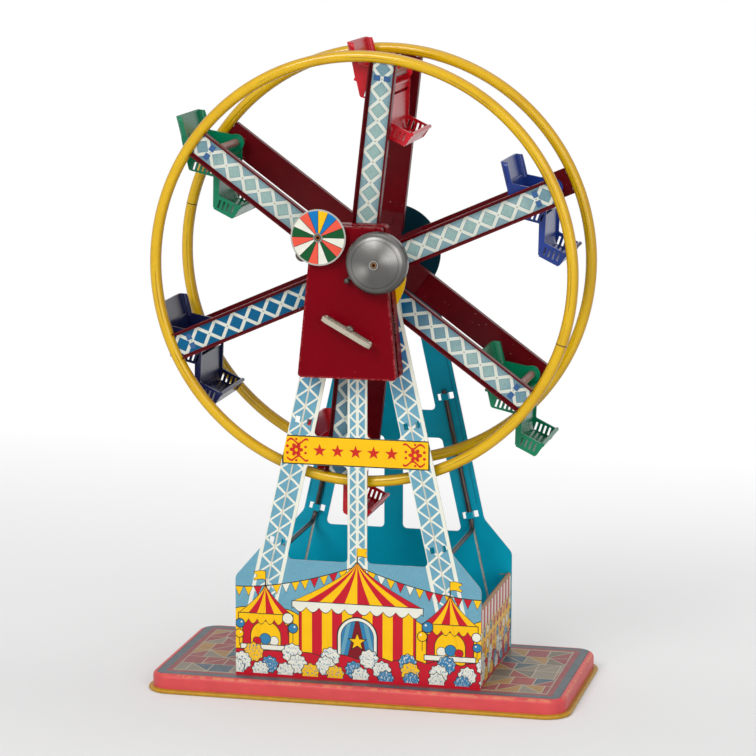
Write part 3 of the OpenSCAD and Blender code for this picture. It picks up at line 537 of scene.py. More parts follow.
def towerPrint(name, facing):
    # printed tower panel: girders on the legs, a yellow sign and head, the frieze on the box, plain inside
    material, shader, where, x, y, z = startFinish(name, Specular_IOR_Level=0.22)
    sky = mix((noise(where, 0.9, 3.0) - 0.3).clamp(), skyBlue, ink(126, 170, 184))
    panes = mix(((z - legs["deepFrom"]) / legs["deepOver"]).clamp(), sky, deepBlue)
    # distance across a sloping leg from its middle line
    upright = math.cos(math.atan(legs["slope"]))
    middle = legs["foot"] - legs["width"] / 2
    across = (abs(x + legs["shift"]) + z * legs["slope"] - middle) * upright
    bars = girder(across, z / upright, legs["half"], legs["pitch"], legs["line"])
    legInk = mix((abs(across) - legs["spine"]).inside(), mix(bars, panes, white), ink(206, 200, 182))
    onLeg = (abs(across) - legs["width"] / 2 - legs["margin"]).inside()
    m = middleLeg
    bars = girder(x, z, m["half"], m["pitch"], m["line"]) | (abs(x) - m["spine"]).inside()
    middleInk = mix(bars, panes, white)
    onMiddle = ((abs(x) - m["width"] / 2 - m["margin"]) | (m["foot"] - z)).inside()
    # field, sign, head and box
    field = mix(((z - panel["whiteFrom"]) / panel["whiteOver"]).clamp(), sky, white)
    colour = mix(onLeg, mix(onMiddle, field, middleInk), legInk)
    colour = signOn(colour, x - sign["at"], z)
    head = dotAt(point(x, z), 0.0, float(axle[2]), panel["headRadius"]) | (panel["headFrom"] - z)
    colour = mix(head.inside(), colour, yellow)
    box = mix(onMiddle, mix(onLeg, sky, legInk), middleInk)
    colour = mix((z - panel["boxTop"]).inside(), colour, fairground(box, x, z - trayHigh[2]))
    # teal inside, with painted shade along a pressed crease and towards the head, and cut edges of bare tin
    creaseShade = (abs(across - panel["creaseShade"]) - panel["creaseHalf"]).inside(0.3)
    creaseShade = creaseShade * (z > panel["creaseFrom"]) * (z < panel["headFrom"])
    plain = mix(noise(where, 0.05, 2.0), teal, ink(0, 158, 188))
    # painted shade: a darker line along the crease
    plain = tint(creaseShade * 0.7, plain, ink(120, 140, 150))
    # painted shade: the teal darkens upwards towards the head, between the wheel and the panels
    plain = mix(((z - panel["paintedShadeFrom"]) / panel["paintedShadeOver"]).clamp(), plain, ink(3, 52, 66))
    core = panelOut - sheet / 2
    colour = mix(y * facing < core, colour, plain)
    edge = (abs(abs(y) - core) - (sheet / 2 - 0.05)).inside(0.04)
    colour = mix(edge, colour, mix(noise(where, 0.3, 3.0), bareTin, white))
    wornTin(shader, where, colour, rough=0.36, grain=0.05)
    return material


# faded and deep, from the first rod round: how far a spoke's blue has gone, and how much stays near the hub
spokes = {"faded": (0.95, 0.95, 1.0, 0.0, 0.4, 0.9), "deep": (0.1, 0.0, 0.0, 0.0, 0.2, 1.0),
          "pitch": 13.3, "half": 6.6, "shift": 2.0, "bar": 1.08, "slope": 0.71, "shade": 1.5, "dot": 0.55,
          "faceHalf": 6.7, "middle": 74.0, "evenHalf": 40.0, "endOver": 14.0, "deepFrom": 34.0,
          "deepOver": 50.0}


def spokePrint(name, web, outward):
    # spoke channel: white crossed bars on blue panes over the outer face of the web, dark red elsewhere
    material, shader, where, x, y, z = startFinish(name, Specular_IOR_Level=0.14)
    s = spokes
    count = len(s["faded"])
    share = 360 / count
    wz = z - float(axle[2])
    r = lengthOf(x, wz)
    turn = angleOf(wz, x) * perRadian - wheelTurn + share / 2
    bend = (turn % share - share / 2) / perRadian
    along, across = r * bend.cos(), r * bend.sin()
    # the fading of this spoke, less at its ends
    which = ((turn / share).floor() % count) / count + 0.08
    faded, deep = (pickInk(which, [(k / count, (v, v, v, 1.0)) for k, v in enumerate(s[key])])
                   for key in ("faded", "deep"))
    ends = ((abs(along - s["middle"]) - s["evenHalf"]) / s["endOver"]).clamp()
    fade = (noise(where, 0.03, 3.0) * 0.6 + 0.75).clamp() * faded * (1.0 - ends * 0.45)
    near = (1.0 - (along - s["deepFrom"]) / s["deepOver"]).clamp()
    fade = fade * (1.0 - deep * near)
    # panes, bars and the dot where bars cross
    wave = waveOf(along + s["shift"], s["pitch"]) * s["half"]
    off = abs(abs(across) - wave) * s["slope"]
    panes = mix(fade, ink(2, 92, 134), ink(150, 178, 172))
    corners = (wave - abs(across)).inside(0.4)
    panes = mix(corners * fade * 0.3, panes, ink(76, 126, 168))
    grain = noise(where, 0.8, 4.0, 0.7)
    panes = tint((grain - 0.4).clamp(), panes, ink(150, 160, 164))
    panes = mix((off - s["shade"]).inside(0.4) * 0.35, panes, ink(40, 92, 130))
    face = mix((off - s["bar"]).inside(), panes, ink(208, 212, 200))
    cell = ((along + s["shift"]) / s["pitch"] % 1.0 - 0.5) * s["pitch"]
    crossing = dotAt(point(across, cell), 0.0, 0.0, s["dot"])
    face = mix(crossing.inside() * 0.5, face, ink(96, 84, 84))
    maroon = mix(noise(where, 0.12, 3.0), ink(98, 4, 13), ink(76, 2, 9))
    onFace = (abs(y - (web + outward * sheet / 2)) - 0.1) | (abs(across) - s["faceHalf"])
    colour = mix(onFace.inside(0.05), maroon, face)
    wornTin(shader, where, colour, rough=0.34, chip=ink(190, 150, 140), chips=0.66, grain=0.06)
    return material


def hubRed():
    # dark red enamel with a slow change of tone
    material, shader, where, x, y, z = startFinish("hubRed", Specular_IOR_Level=0.3)
    tone = mix(noise(where, 0.05, 3.0), ink(92, 5, 14), ink(72, 3, 10))
    wornTin(shader, where, tone, rough=0.4, chip=ink(70, 52, 40), chips=0.68)
    return material


motor = {"middle": -2.1, "low": 218.0, "height": 98.0, "lowHalf": 32.6, "topHalf": 22.85, "wear": 1.4,
         "faces": [float(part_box(n)[0][1]) / mm for n in ("motor_cover", "motor_back_plate")]}


def motorRed():
    # deep red sheet with bright scratches and worn edges: distance inside the plate's four straight sides
    material, shader, where, x, y, z = startFinish("motorRed", Specular_IOR_Level=0.06)
    m = motor
    up = (z - m["low"]) / m["height"]
    side = up * (m["topHalf"] - m["lowHalf"]) + m["lowHalf"] - abs(x - m["middle"])
    depth = side & (z - m["low"]) & (m["low"] + m["height"] - z)
    behind = abs(y - m["faces"][0]) & abs(y - m["faces"][1])
    worn = (1.0 - (depth | 0.0) / m["wear"]).clamp() * (1.0 - behind / m["wear"]).clamp()
    worn = worn * specks(where, 0.45, 0.47)
    # spots stretched into slanting strokes
    scratch = specks(point(x * 1.5 + z * 0.8, y, z * 0.12 - x * 0.2), 0.35, 0.68) * 0.4
    tone = mix(noise(where, 0.05, 3.0), ink(119, 0, 16), ink(107, 0, 13))
    colour = mix((worn * 0.5) | scratch, tone, ink(188, 96, 92))
    wornTin(shader, where, colour, rough=0.32, chip=ink(196, 150, 140), chips=0.70, grain=0.04)
    return material


def barMetal(name, colour, second, rough, rust=0.66):
    # bare or plated metal with fine unevenness, dull spots and a little brown
    material, shader, where, x, y, z = startFinish(name, Metallic=1.0)
    spots = specks(where, 0.5, rust)
    tone = mix(noise(where, 0.25, 4.0), colour, second)
    feed(shader, Base_Color=mix(spots * 0.7, tone, ink(84, 58, 42)))
    feed(shader, Roughness=noise(where, 0.6, 3.0) * 0.2 + spots * 0.3 + (rough - 0.1))
    feed(shader, Normal=bumpOf(noise(where, 1.4, 2.0), 0.08, 0.4))
    return material


rivet = {"groove": 2.0, "grooveHalf": 0.3, "throat": 1.6, "hole": 0.9}


def eyelet(name, centre):
    # hollow rivet, by distance from its axis: bright ring, brass throat, and a hole painted dark as shade
    material, shader, where, x, y, z = startFinish(name, Metallic=1.0)
    r = lengthOf(x - float(centre[0]), z - float(centre[2]))
    colour = mix(noise(where, 0.5, 3.0), ink(176, 172, 166), ink(130, 126, 122))
    colour = mix((abs(r - rivet["groove"]) - rivet["grooveHalf"]).inside(), colour, ink(88, 84, 80))
    colour = mix((r - rivet["throat"]).inside(), colour, ink(128, 84, 42))
    # painted shade: the hole is a dark disc
    colour = mix((r - rivet["hole"]).inside(), colour, ink(26, 18, 14))
    feed(shader, Base_Color=colour, Roughness=noise(where, 0.6, 3.0) * 0.2 + 0.2)
    return material


def rodTin():
    # rolled tin rod, brownish and bare, with its folded tabs outside the spokes printed blue
    material, shader, where, x, y, z = startFinish("rodTin", Specular_IOR_Level=0.4)
    tabs = (y - (frontWeb - sheet / 2)) & ((backWeb + sheet / 2) - y)
    tone = mix(noise(where, 0.25, 4.0), ink(150, 108, 100), ink(112, 78, 72))
    wornTin(shader, where, mix(tabs.inside(0.1), tone, ink(44, 88, 138)), rough=0.38, chips=0.62)
    return material


rims = {"radius": 138.0, "tube": 3.7, "wall": 0.8, "slit": sheet + 0.1, "steps": (576, 36),
        "seam": -10.0, "seamHalf": 0.2, "joints": ((frontWeb, -18.0), (backWeb, 167.0)), "jointHalf": 0.35,
        "jointReach": 9.0, "sideShadeAt": 90.0, "sideShadeOver": 65.0}


def rimYellow():
    # lemon enamel on a rolled tube: a dark seam at one angle round the tube, and a butt joint on each ring
    gloss = {"Specular_IOR_Level": 0.08, "Coat_Weight": 0.6, "Coat_Roughness": 0.14}
    material, shader, where, x, y, z = startFinish("rimYellow", **gloss)
    wz = z - float(axle[2])
    out = lengthOf(x, wz) - rims["radius"]
    front = y < (frontWeb + backWeb) / 2
    ahead = (front * (frontWeb - backWeb) + backWeb) - y
    tilt = angleOf(out, ahead) * perRadian
    seam = abs(tilt - rims["seam"]) * (rims["tube"] / perRadian) - rims["seamHalf"]
    turn = angleOf(wz, x) * perRadian
    cuts = []
    for web, at in rims["joints"]:
        cut = abs(turn - at) * (rims["radius"] / perRadian) - rims["jointHalf"]
        cuts.append(cut | (abs(y - web) - rims["jointReach"]))
    tone = mix(noise(where, 0.02, 2.0), ink(217, 175, 8), ink(203, 159, 5))
    stain = (noise(where, 0.05, 2.0) - 0.5).clamp() * 1.4
    tone = mix(stain, tone, ink(188, 136, 8))
    # painted shade: browner on the sides of the tube
    sideShade = (1.0 - abs(abs(tilt) - rims["sideShadeAt"]) / rims["sideShadeOver"]).clamp()
    tone = mix(sideShade * 0.7, tone, ink(160, 104, 4))
    # the seam shows in stretches only
    shown = ((noise(where, 0.03, 3.0) - 0.46) * 9.0).clamp() * 0.75
    lines = (seam.inside(0.2) * shown) | (cuts[0] & cuts[1]).inside(0.2)
    colour = mix(lines, tone, ink(72, 54, 24))
    colour = mix(chipsOf(where, 0.71), colour, ink(84, 64, 28))
    feed(shader, Base_Color=colour, Roughness=unevenGloss(where, 0.24))
    return material


def moulded(name, colour, second):
    # glossy injection-moulded plastic with faint flow marks and a few light scratches
    material, shader, where, x, y, z = startFinish(name, Specular_IOR_Level=0.3)
    flow = noise(where, 0.06, 2.0)
    scratch = specks(where, 0.7, 0.74) * 0.1
    feed(shader, Base_Color=mix(scratch, mix(flow, colour, second), ink(150, 150, 156)))
    feed(shader, Roughness=noise(where, 0.05, 2.0) * 0.1 + 0.2)
    feed(shader, Normal=bumpOf(noise(where, 0.05, 1.0), 0.3, 0.2))
    return material


# bands: each colour from the edge in to its limit, the widest first
base = {"cell": (15.0, 17.0), "line": 0.4, "flipShare": 0.5, "wholeShare": 0.4, "sideTo": 6.6, "lip": 0.12,
        "corner": 4.0, "cornerHalf": 0.8, "cornerDrop": 2.4, "cornerOver": 2.0, "hemHigh": 2.75,
        "hemDeep": 2.8,
        "bands": ((17.0, ink(164, 154, 132)), (16.2, ink(142, 54, 58)),
                  (12.4, ink(76, 92, 100)), (7.4, ink(88, 46, 48))),
        "tiles": ((0.0, ink(144, 60, 62)), (0.26, ink(134, 126, 110)), (0.44, ink(66, 88, 102)),
                  (0.6, ink(164, 124, 62)), (0.78, ink(148, 62, 58)), (0.9, ink(112, 104, 90)))}


def paving(x, y):
    # rows of tiles that shift at random, most of them split along one diagonal into two colours
    cx, cy = base["cell"]
    w = y / cy
    row = w.floor()
    u = x / cx + cellRandom(point(row, 5.0))
    column = u.floor()
    fx, fy = u % 1.0, w % 1.0
    flip = cellRandom(point(column, row)) > base["flipShare"]
    diagonal = fx + fy * (flip * -2.0 + 1.0) + flip - 1.0
    split = cellRandom(point(column, row, 7.0)) > base["wholeShare"]
    pick = cellRandom(point(column, row, (diagonal > 0.0) * split + 2.0))
    # distance to the nearest joint; on a whole tile the diagonal is put out of reach
    joint = ((0.5 - abs(fx - 0.5)) * cx) & ((0.5 - abs(fy - 0.5)) * cy)
    joint = joint & (abs(diagonal) * (cx * 0.7) + (1.0 - split) * 9.0)
    return mix((joint - base["line"]).inside(0.3), pickInk(pick, base["tiles"]), ink(176, 166, 142))


def basePrint():
    # tray: ochre hem, salmon sides, banded border and a paving of split tiles on top
    material, shader, where, x, y, z = startFinish("basePrint", Specular_IOR_Level=0.2)
    half = (trayHigh - trayLow)[:2] / 2
    depth = (float(half[0]) - abs(x)) & (float(half[1]) - abs(y))
    below = z - trayHigh[2]
    colour = paving(x, y)
    for limit, tone in base["bands"]:
        colour = mix((depth - limit).inside(0.3), colour, tone)
    haze = (noise(where, 0.05, 4.0) - 0.4).clamp() * 0.8
    colour = mix(haze, colour, ink(106, 98, 92))
    salmon = mix(noise(where, 0.06, 3.0), ink(214, 84, 84), ink(198, 68, 74))
    side = (depth - base["sideTo"]).inside(0.4) | (below + base["lip"]).inside(0.1)
    colour = mix(side, colour, salmon)
    # paler along the rounded upper corner: rubbed specks over a faint even band
    corner = (abs(depth - base["corner"]) - base["cornerHalf"]).inside(1.6)
    corner = corner * ((below + base["cornerDrop"]) / base["cornerOver"]).clamp()
    colour = mix(corner * (specks(where, 0.16, 0.46) * 0.7 + 0.1), colour, ink(214, 146, 100))
    ochre = mix(noise(where, 0.25, 4.0), ink(196, 150, 40), ink(158, 114, 28))
    hem = (z - base["hemHigh"]) & (depth - base["hemDeep"])
    colour = mix(hem.inside(0.1), colour, ochre)
    wornTin(shader, where, colour, rough=0.4, chips=0.64, grain=0.08)
    return material


sideWall = {"cell": (11.0, 10.0), "ball": 3.2, "shineAt": 1.1, "shine": 0.8, "awning": 41.0, "tongue": 10.4,
            "tongueUp": 4.0, "bank": 13.0, "rolledFrom": 51.6, "innerTo": 81.6,
            "inks": ((0.0, red), (0.3, printBlue), (0.55, white), (0.8, ink(222, 120, 60)))}


def sidePrint():
    # side wall: scalloped awning and balloons over yellow, and the hedge along the foot
    material, shader, where, x, y, z = startFinish("sidePrint", Specular_IOR_Level=0.2)
    s = sideWall
    v = z - trayHigh[2]
    wide, tall = s["cell"]
    chance = cellRandom(point((y / wide).floor(), (v / tall).floor()))
    spot = point((y / wide) % 1.0 * wide, (v / tall) % 1.0 * tall)
    colour = mix(noise(where, 0.2, 3.0), yellow, ink(224, 168, 20))
    colour = outlined(colour, dotAt(spot, wide / 2, tall / 2, s["ball"]), pickInk(chance, s["inks"]))
    shine = dotAt(spot, wide / 2 - s["shineAt"], tall / 2 + s["shineAt"], s["shine"])
    colour = mix(shine.inside(), colour, white)
    awning = s["awning"] - scallop(y, s["tongue"]) * s["tongueUp"] - v
    colour = outlined(colour, awning, mix(stripes(y, s["tongue"] / 2), red, white))
    colour = hedge(colour, y, v, s["bank"])
    bare = mix(noise(where, 0.3, 4.0), ink(176, 132, 84), ink(150, 112, 72))
    colour = mix((s["rolledFrom"] - v).inside(), colour, bare)
    inner = (abs(x) < s["innerTo"]) * (v < s["rolledFrom"])
    colour = mix(inner, colour, teal)
    wornTin(shader, where, colour, rough=0.4, chips=0.62)
    return material


spinner = {"order": "ybrgwrgwrgwrgwrb", "jointHalf": 0.18, "edge": 17.0, "front": -78.25,
           "tones": {"y": ink(244, 182, 6), "b": ink(0, 112, 178), "r": ink(224, 84, 64),
                     "g": ink(0, 78, 34), "w": white}}


def spinnerPrint():
    # sixteen printed sectors round the shaft, clockwise from the top, with thin dark joints and a bare edge
    material, shader, where, x, y, z = startFinish("spinnerPrint", Specular_IOR_Level=0.22)
    s = spinner
    dx, dz = x - float(spinnerAxis[0]), z - float(spinnerAxis[2])
    turn = (angleOf(dx, dz) / (2 * math.pi)) % 1.0
    r = lengthOf(dx, dz)
    count = len(s["order"])
    colour = pickInk(turn, [(k / count, s["tones"][tone]) for k, tone in enumerate(s["order"])])
    joint = abs((turn * count + 0.5) % 1.0 - 0.5) * r * (2 * math.pi / count) - s["jointHalf"]
    colour = mix(joint.inside(), colour, dark)
    colour = mix((s["edge"] - r).inside() | (y > s["front"]), colour, ink(170, 168, 162))
    wornTin(shader, where, colour, rough=0.36, chips=0.64)
    return material


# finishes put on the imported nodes; each metal has its nodes, two tones, roughness and where its spots start
metals = {
    "wireSteel": (["left_spreader_wire", "right_spreader_wire"], ink(92, 84, 80), ink(66, 60, 60), 0.42),
    "keyNickel": (["key_handle"], ink(206, 198, 182), ink(172, 162, 144), 0.26, 0.7),
    "gearBrass": (["axle_bushes", "axle_pinion", "axle_gear", "middle_wheel"],
                  ink(190, 150, 80), ink(160, 120, 60), 0.36),
    "axleSteel": (["motor_pillars", "pivot_studs", "winding_arbor", "ratchet_wheel", "click", "wheel_axle",
                   "strike_cam"], ink(170, 166, 160), ink(132, 128, 124), 0.36),
    "darkSteel": (["bell_striker", "stop_lever", "great_wheel"], ink(98, 92, 86), ink(72, 68, 64), 0.4),
    "springSteel": (["mainspring", "click_spring"], ink(86, 96, 118), ink(66, 74, 92), 0.3)}
chairBlue = (ink(30, 58, 136), ink(22, 46, 116))
chairRed = (ink(200, 22, 36), ink(178, 12, 28))
chairGreen = (ink(0, 122, 84), ink(0, 104, 72))
chairNavy = (ink(24, 32, 78), ink(18, 24, 60))
chairs = (chairBlue, chairRed, chairGreen, chairNavy, chairRed, chairGreen)
numbers = range(1, len(chairs) + 1)

paint(["front_panel"], towerPrint("frontPrint", -1.0))
paint(["back_panel"], towerPrint("rearPrint", 1.0))
paint([f"front_spoke_{k}" for k in numbers], spokePrint("frontSpokePrint", frontWeb, -1.0))
paint([f"back_spoke_{k}" for k in numbers], spokePrint("rearSpokePrint", backWeb, 1.0))
paint(["base_tray"], basePrint())
paint(["left_side_wall", "right_side_wall"], sidePrint())
paint(["spinner_disc"], spinnerPrint())
paint(["motor_cover", "motor_back_plate"], motorRed())
paint([f"gondola_rod_{k}" for k in numbers], rodTin())
paint(["bell_post"], eyelet("bellEyelet", bellMiddle))
paint(["spinner_shaft"], eyelet("spinnerEyelet", spinnerAxis))
rimPaint, hubPaint = rimYellow(), hubRed()
paint(["spoke_rivets"], hubPaint)
for name, (pieces, *metal) in metals.items():
    paint(pieces, barMetal(name, *metal))
for k, tones in zip(numbers, chairs):
    paint([f"gondola_{k}"], moulded(f"chairPlastic{k}", *tones))
print("finishes on", len(nodes), "nodes")


def carriedRound(r, y, centre):
    # radius and depth of a section, one row for each step, carried round an axis along y through the centre
    turn = np.linspace(0, 2 * np.pi, len(r), endpoint=False)[:, None]
    return np.stack([centre[0] + r * np.cos(turn), y, centre[2] + r * np.sin(turn)], -1)


def ringMesh(name, grid, smooth=True):
    # a closed skin over a grid of points that joins up in both directions, with its faces turned outwards
    n, m = grid.shape[:2]
    i, j = np.meshgrid(np.arange(n), np.arange(m), indexing="ij")
    nextI, nextJ = (i + 1) % n, (j + 1) % m
    faces = np.stack([i * m + j, nextI * m + j, nextI * m + nextJ, i * m + nextJ], -1).reshape(-1, 4)
    points = grid.reshape(-1, 3)
    a, b, c, d = (points[faces[:, q]] for q in range(4))
    volume = (np.cross(a, b) * c).sum() + (np.cross(a, c) * d).sum()
    faces = faces if volume > 0 else faces[:, ::-1]
    mesh = bpy.data.meshes.new(name)
    mesh.from_pydata((points * mm).tolist(), [], faces.tolist())
    mesh.polygons.foreach_set("use_smooth", [smooth] * len(faces))
    piece = bpy.data.objects.new(name, mesh)
    bpy.context.scene.collection.objects.link(piece)
    return piece


def seat(piece, material, body, node):
    # a new piece's finish, the body that carries it, and the node that it stands for, which is hidden
    piece.data.materials.append(material)
    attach(piece, body)
    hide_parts(node)
    print(piece.name, "made:", len(piece.data.polygons), "faces")


bell = {"hole": 1.75, "crown": 3.4, "bulge": 0.4, "shoulder": 0.45, "skirt": 0.78, "wall": 0.9, "bead": 1.1,
        "bend": (75, 0, 14), "roll": (0, -235, 16), "steps": 128, "grooves": ((15.2, 0.35), (17.8, 0.2)),
        "highlightTurn": 0.5, "highlightFrom": 2.0, "highlightOver": 5.0, "highlightMiddle": 9.0, "highlightReach": 12.0}


def bellSection(spec, radius, height):
    # radius and height round the shell: crown and shoulder arc outside, a rolled edge, and the inside back
    turn = np.radians(np.linspace(*spec["bend"]))
    share = np.linspace(0, 1, len(turn))[:-1, None]

    def side(inset):
        r, h = radius - inset, height - inset
        s = h * spec["shoulder"]
        shoulder = np.stack([r - s + s * np.cos(turn), h * spec["skirt"] - s + s * np.sin(turn)], 1)
        crown = np.array([[spec["crown"], h]]) * (1 - share) + shoulder[:1] * share
        crown[:, 1] += spec["bulge"] * np.sin(np.pi * share[:, 0])
        return np.concatenate([[[spec["hole"], h]], crown, shoulder])

    roll = np.radians(np.linspace(*spec["roll"]))
    bead = spec["bead"]
    edge = np.stack([radius - bead + bead * np.cos(roll), bead * (1 + np.sin(roll))], 1)
    return np.concatenate([side(0.0), edge, side(spec["wall"])[::-1]])


def bellSteel(spec):
    # spun steel: fine lathe rings by distance from the axis, two grooves, a painted highlight fanning out
    # from the middle, and dull spots
    material, shader, where, x, y, z = startFinish("bellSteel", Metallic=1.0)
    dx, dz = x - float(bellMiddle[0]), z - float(bellMiddle[2])
    r = lengthOf(dx, dz)
    rings = noise(point(r, 0.0), 2.2, 3.0, 0.7)
    spots = specks(where, 0.5, 0.66)
    tone = mix(noise(where, 0.12, 3.0), ink(118, 117, 114), ink(98, 97, 95))
    # painted highlight: a bright fan at one angle round the axis, strongest partway out from the middle
    fanHighlight = abs((angleOf(dz, dx) - spec["highlightTurn"]).cos()) ** 10.0
    fanHighlight = fanHighlight * ((r - spec["highlightFrom"]) / spec["highlightOver"]).clamp()
    fanHighlight = fanHighlight * (1.0 - (abs(r - spec["highlightMiddle"]) / spec["highlightReach"]).clamp())
    tone = mix(fanHighlight * 0.8, tone, ink(176, 174, 170))
    lines = (rings - 0.3).clamp() * 0.8
    for at, half in spec["grooves"]:
        lines = lines | (abs(r - at) - half).inside(0.3) * 0.6
    tone = tint(lines, tone, ink(140, 138, 136))
    feed(shader, Base_Color=mix(spots * 0.5, tone, ink(70, 60, 52)))
    feed(shader, Roughness=noise(where, 0.3, 3.0) * 0.12 + spots * 0.2 + 0.26)
    feed(shader, Normal=bumpOf(rings, 0.05, 0.8))
    return material


def addBell(spec):
    # the bell's section carried round its own axis, with its open side towards the back
    wide, deep = (bellHigh - bellLow)[:2]
    section = bellSection(spec, wide / 2, deep)
    r, h = (np.tile(part, (spec["steps"], 1)) for part in section.T)
    piece = ringMesh("spunBell", carriedRound(r, bellHigh[1] - h, bellMiddle))
    seat(piece, bellSteel(spec), "stand", "bell_gong")


def addRim(name, web, node, spec, material):
    # a tube slit along its inner side: the outer and inner arcs of its wall, carried round the axle
    around, across = spec["steps"]
    arcs = []
    for radius, way in ((spec["tube"], 1), (spec["tube"] - spec["wall"], -1)):
        gap = math.asin(spec["slit"] / 2 / radius)
        turn = np.linspace(gap - math.pi, math.pi - gap, across)[::way]
        arcs.append(np.stack([spec["radius"] + radius * np.cos(turn), web + radius * np.sin(turn)], 1))
    r, y = (np.tile(part, (around, 1)) for part in np.concatenate(arcs).T)
    seat(ringMesh(name, carriedRound(r, y, axle)), material, "ferris_wheel", node)


spider = {"arms": 6, "reach": 30.0, "half": 8.6, "thick": 1.0, "lift": sheet / 2, "bore": 2.5, "collar": 5.5,
          "collarLong": 8.0, "steps": 720}


def addSpider(name, web, inward, node, spec, material):
    # hub plate with arms and a collar: at angle a from the nearest arm its edge is the nearer of the arm's
    # end, reach / cos a, and the arm's side, half / sin a
    turn = np.linspace(0, 2 * np.pi, spec["steps"], endpoint=False)[:, None]
    arm = np.pi / spec["arms"]
    a = np.abs((turn - math.radians(wheelTurn) + arm) % (2 * arm) - arm)
    edge = np.minimum(spec["reach"] / np.cos(a), spec["half"] / np.maximum(np.sin(a), 1e-6))
    bore, collar = (np.full_like(turn, spec[k]) for k in ("bore", "collar"))
    near = spec["lift"]
    far = near + spec["thick"]
    end = far + spec["collarLong"]
    r = np.concatenate([bore, edge, edge, collar, collar, bore], 1)
    y = web + inward * np.tile([near, near, far, far, end, end], (spec["steps"], 1))
    seat(ringMesh(name, carriedRound(r, y, axle), False), material, "ferris_wheel", node)


addBell(bell)
addSpider("frontSpider", frontWeb, 1.0, "front_hub", spider, hubPaint)
addSpider("rearSpider", backWeb, -1.0, "back_hub", spider, hubPaint)
addRim("frontTube", frontWeb, "front_rim", rims, rimPaint)
addRim("rearTube", backWeb, "back_rim", rims, rimPaint)

# camera: angles in degrees, lengths in metres, lens and sensor in millimetres
camera = {"azimuth": 13.22, "elevation": 10.435, "roll": 0.097, "distance": 2.05185, "lens": 147.81,
          "sensor": 36.0, "near": 0.05, "far": 50.0, "target": (0.001208, 0.0, 0.205815)}


def addCamera(spec):
    # the eye stands at its distance from the target, turned round it by azimuth and elevation
    a, e, r = (math.radians(spec[k]) for k in ("azimuth", "elevation", "roll"))
    back = Vector((math.sin(a) * math.cos(e), -math.cos(a) * math.cos(e), math.sin(e)))
    data = bpy.data.cameras.new("camera")
    data.lens = spec["lens"]
    data.sensor_width = spec["sensor"]
    data.clip_start = spec["near"]
    data.clip_end = spec["far"]
    eye = bpy.data.objects.new("camera", data)
    eye.location = Vector(spec["target"]) + back * spec["distance"]
    eye.rotation_mode = "QUATERNION"
    eye.rotation_quaternion = (-back).to_track_quat("-Z", "Y") @ Matrix.Rotation(r, 3, "Z").to_quaternion()
    bpy.context.scene.collection.objects.link(eye)
    bpy.context.scene.camera = eye
    print("camera set")


addCamera(camera)

# studio in metres: a pale sweep, soft lamps with place, width and power, and an even world
studio = {"half": 6.0, "behind": 2.5, "curve": 1.2, "curveSteps": 25, "height": 5.0, "paper": 0.83,
          "fadeFrom": 0.3, "fadeTo": 1.25, "paleFrom": -0.08, "paleTo": 0.75, "world": 0.38,
          "aim": (0, 0, 0.2), "lamps": {
              "key": ((-0.9, -2.5, 2.1), 1.3, 53.0),
              "fill": ((1.7, -2.4, 1.0), 2.0, 32.0),
              "top": ((0.2, 0.4, 2.6), 2.2, 15.0)}}


def seenRay(tree):
    # 1 for rays from the camera, from a glossy face or through glass
    path = tree.nodes.new("ShaderNodeLightPath")
    kinds = ("Camera", "Glossy", "Transmission")
    straight, glossy, through = (Wire(tree, path.outputs[f"Is {kind} Ray"]) for kind in kinds)
    return straight | glossy | through


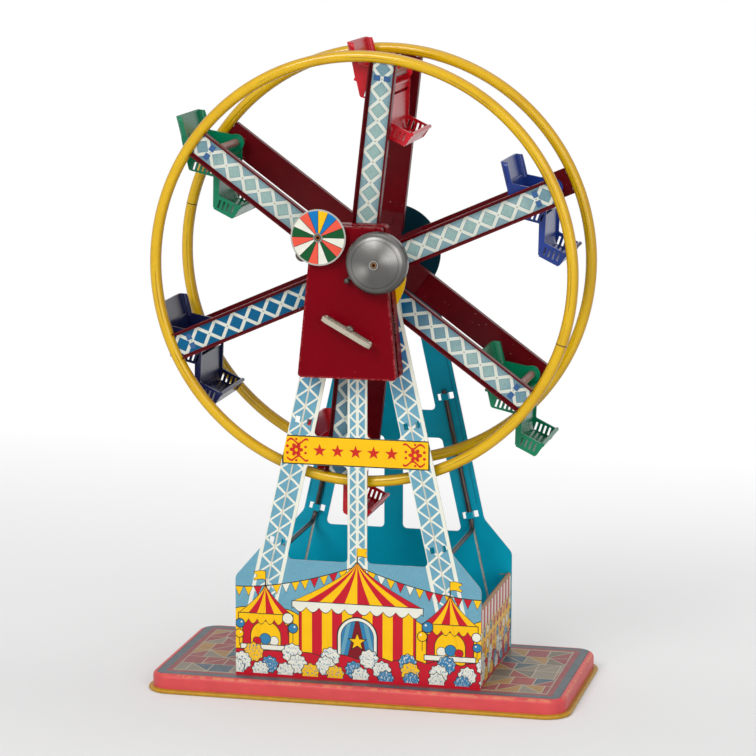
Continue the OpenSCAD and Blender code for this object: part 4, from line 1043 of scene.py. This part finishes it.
def sweepPaper(spec):
    # matt paper that keeps the shadow near the part and is seen as plain white further away
    material, shader, where, x, y, z = startFinish("sweepPaper", Roughness=0.9, Specular_IOR_Level=0.1)
    shader.inputs["Base Color"].default_value = (spec["paper"], spec["paper"], spec["paper"], 1)
    tree = material.node_tree
    away = x.calc("SQRT", x * x + y * y + z * z) * mm
    fade = ((away - spec["fadeFrom"]) / (spec["fadeTo"] - spec["fadeFrom"])).clamp()
    fade = fade | ((y * mm - spec["paleFrom"]) / (spec["paleTo"] - spec["paleFrom"])).clamp()
    glow = away.make("ShaderNodeEmission", None, {"Color": (1, 1, 1, 1), "Strength": 1.0})
    matt = Wire(tree, shader.outputs[0])
    seen = away.make("ShaderNodeMixShader", None, {0: seenRay(tree) * fade, 1: matt, 2: glow})
    tree.links.new(seen.socket, tree.nodes["Material Output"].inputs["Surface"])
    return material


def addSweep(spec):
    # floor that turns up into a wall: a straight run, a quarter circle and a straight rise, carried along x
    turn = np.linspace(0, math.pi / 2, spec["curveSteps"])
    arcY = spec["behind"] + spec["curve"] * np.sin(turn)
    arcZ = spec["curve"] * (1 - np.cos(turn))
    runY = np.concatenate([[-spec["half"]], arcY, [arcY[-1]]])
    runZ = np.concatenate([[0.0], arcZ, [spec["height"]]])
    sides = np.array([-spec["half"], spec["half"]])
    grid = np.stack(np.broadcast_arrays(sides[:, None], runY[None], runZ[None]), -1).reshape(-1, 3)
    n = len(runY)
    k = np.arange(n - 1)
    faces = np.stack([k, k + n, k + n + 1, k + 1], 1)
    mesh = bpy.data.meshes.new("sweep")
    mesh.from_pydata(grid.tolist(), [], faces.tolist())
    mesh.polygons.foreach_set("use_smooth", [True] * len(faces))
    mesh.materials.append(sweepPaper(spec))
    sweep = bpy.data.objects.new("sweep", mesh)
    bpy.context.scene.collection.objects.link(sweep)


def addLamps(spec):
    # square lamps that face the part, and a world that is white where it is seen and dimmer as light
    for name, (place, width, power) in spec["lamps"].items():
        data = bpy.data.lights.new(name, "AREA")
        data.size = width
        data.energy = power
        lamp = bpy.data.objects.new(name, data)
        lamp.location = place
        lamp.rotation_mode = "QUATERNION"
        lamp.rotation_quaternion = (Vector(spec["aim"]) - Vector(place)).to_track_quat("-Z", "Y")
        bpy.context.scene.collection.objects.link(lamp)
    world = bpy.data.worlds.new("studio")
    world.use_nodes = True
    bpy.context.scene.world = world
    tree = world.node_tree
    background = tree.nodes["Background"]
    level = seenRay(tree) * (1.0 - spec["world"]) + spec["world"]
    tree.links.new(level.socket, background.inputs["Strength"])
    background.inputs["Color"].default_value = (1, 1, 1, 1)


addSweep(studio)
addLamps(studio)
bpy.context.scene.view_settings.view_transform = "Standard"
print("studio set")
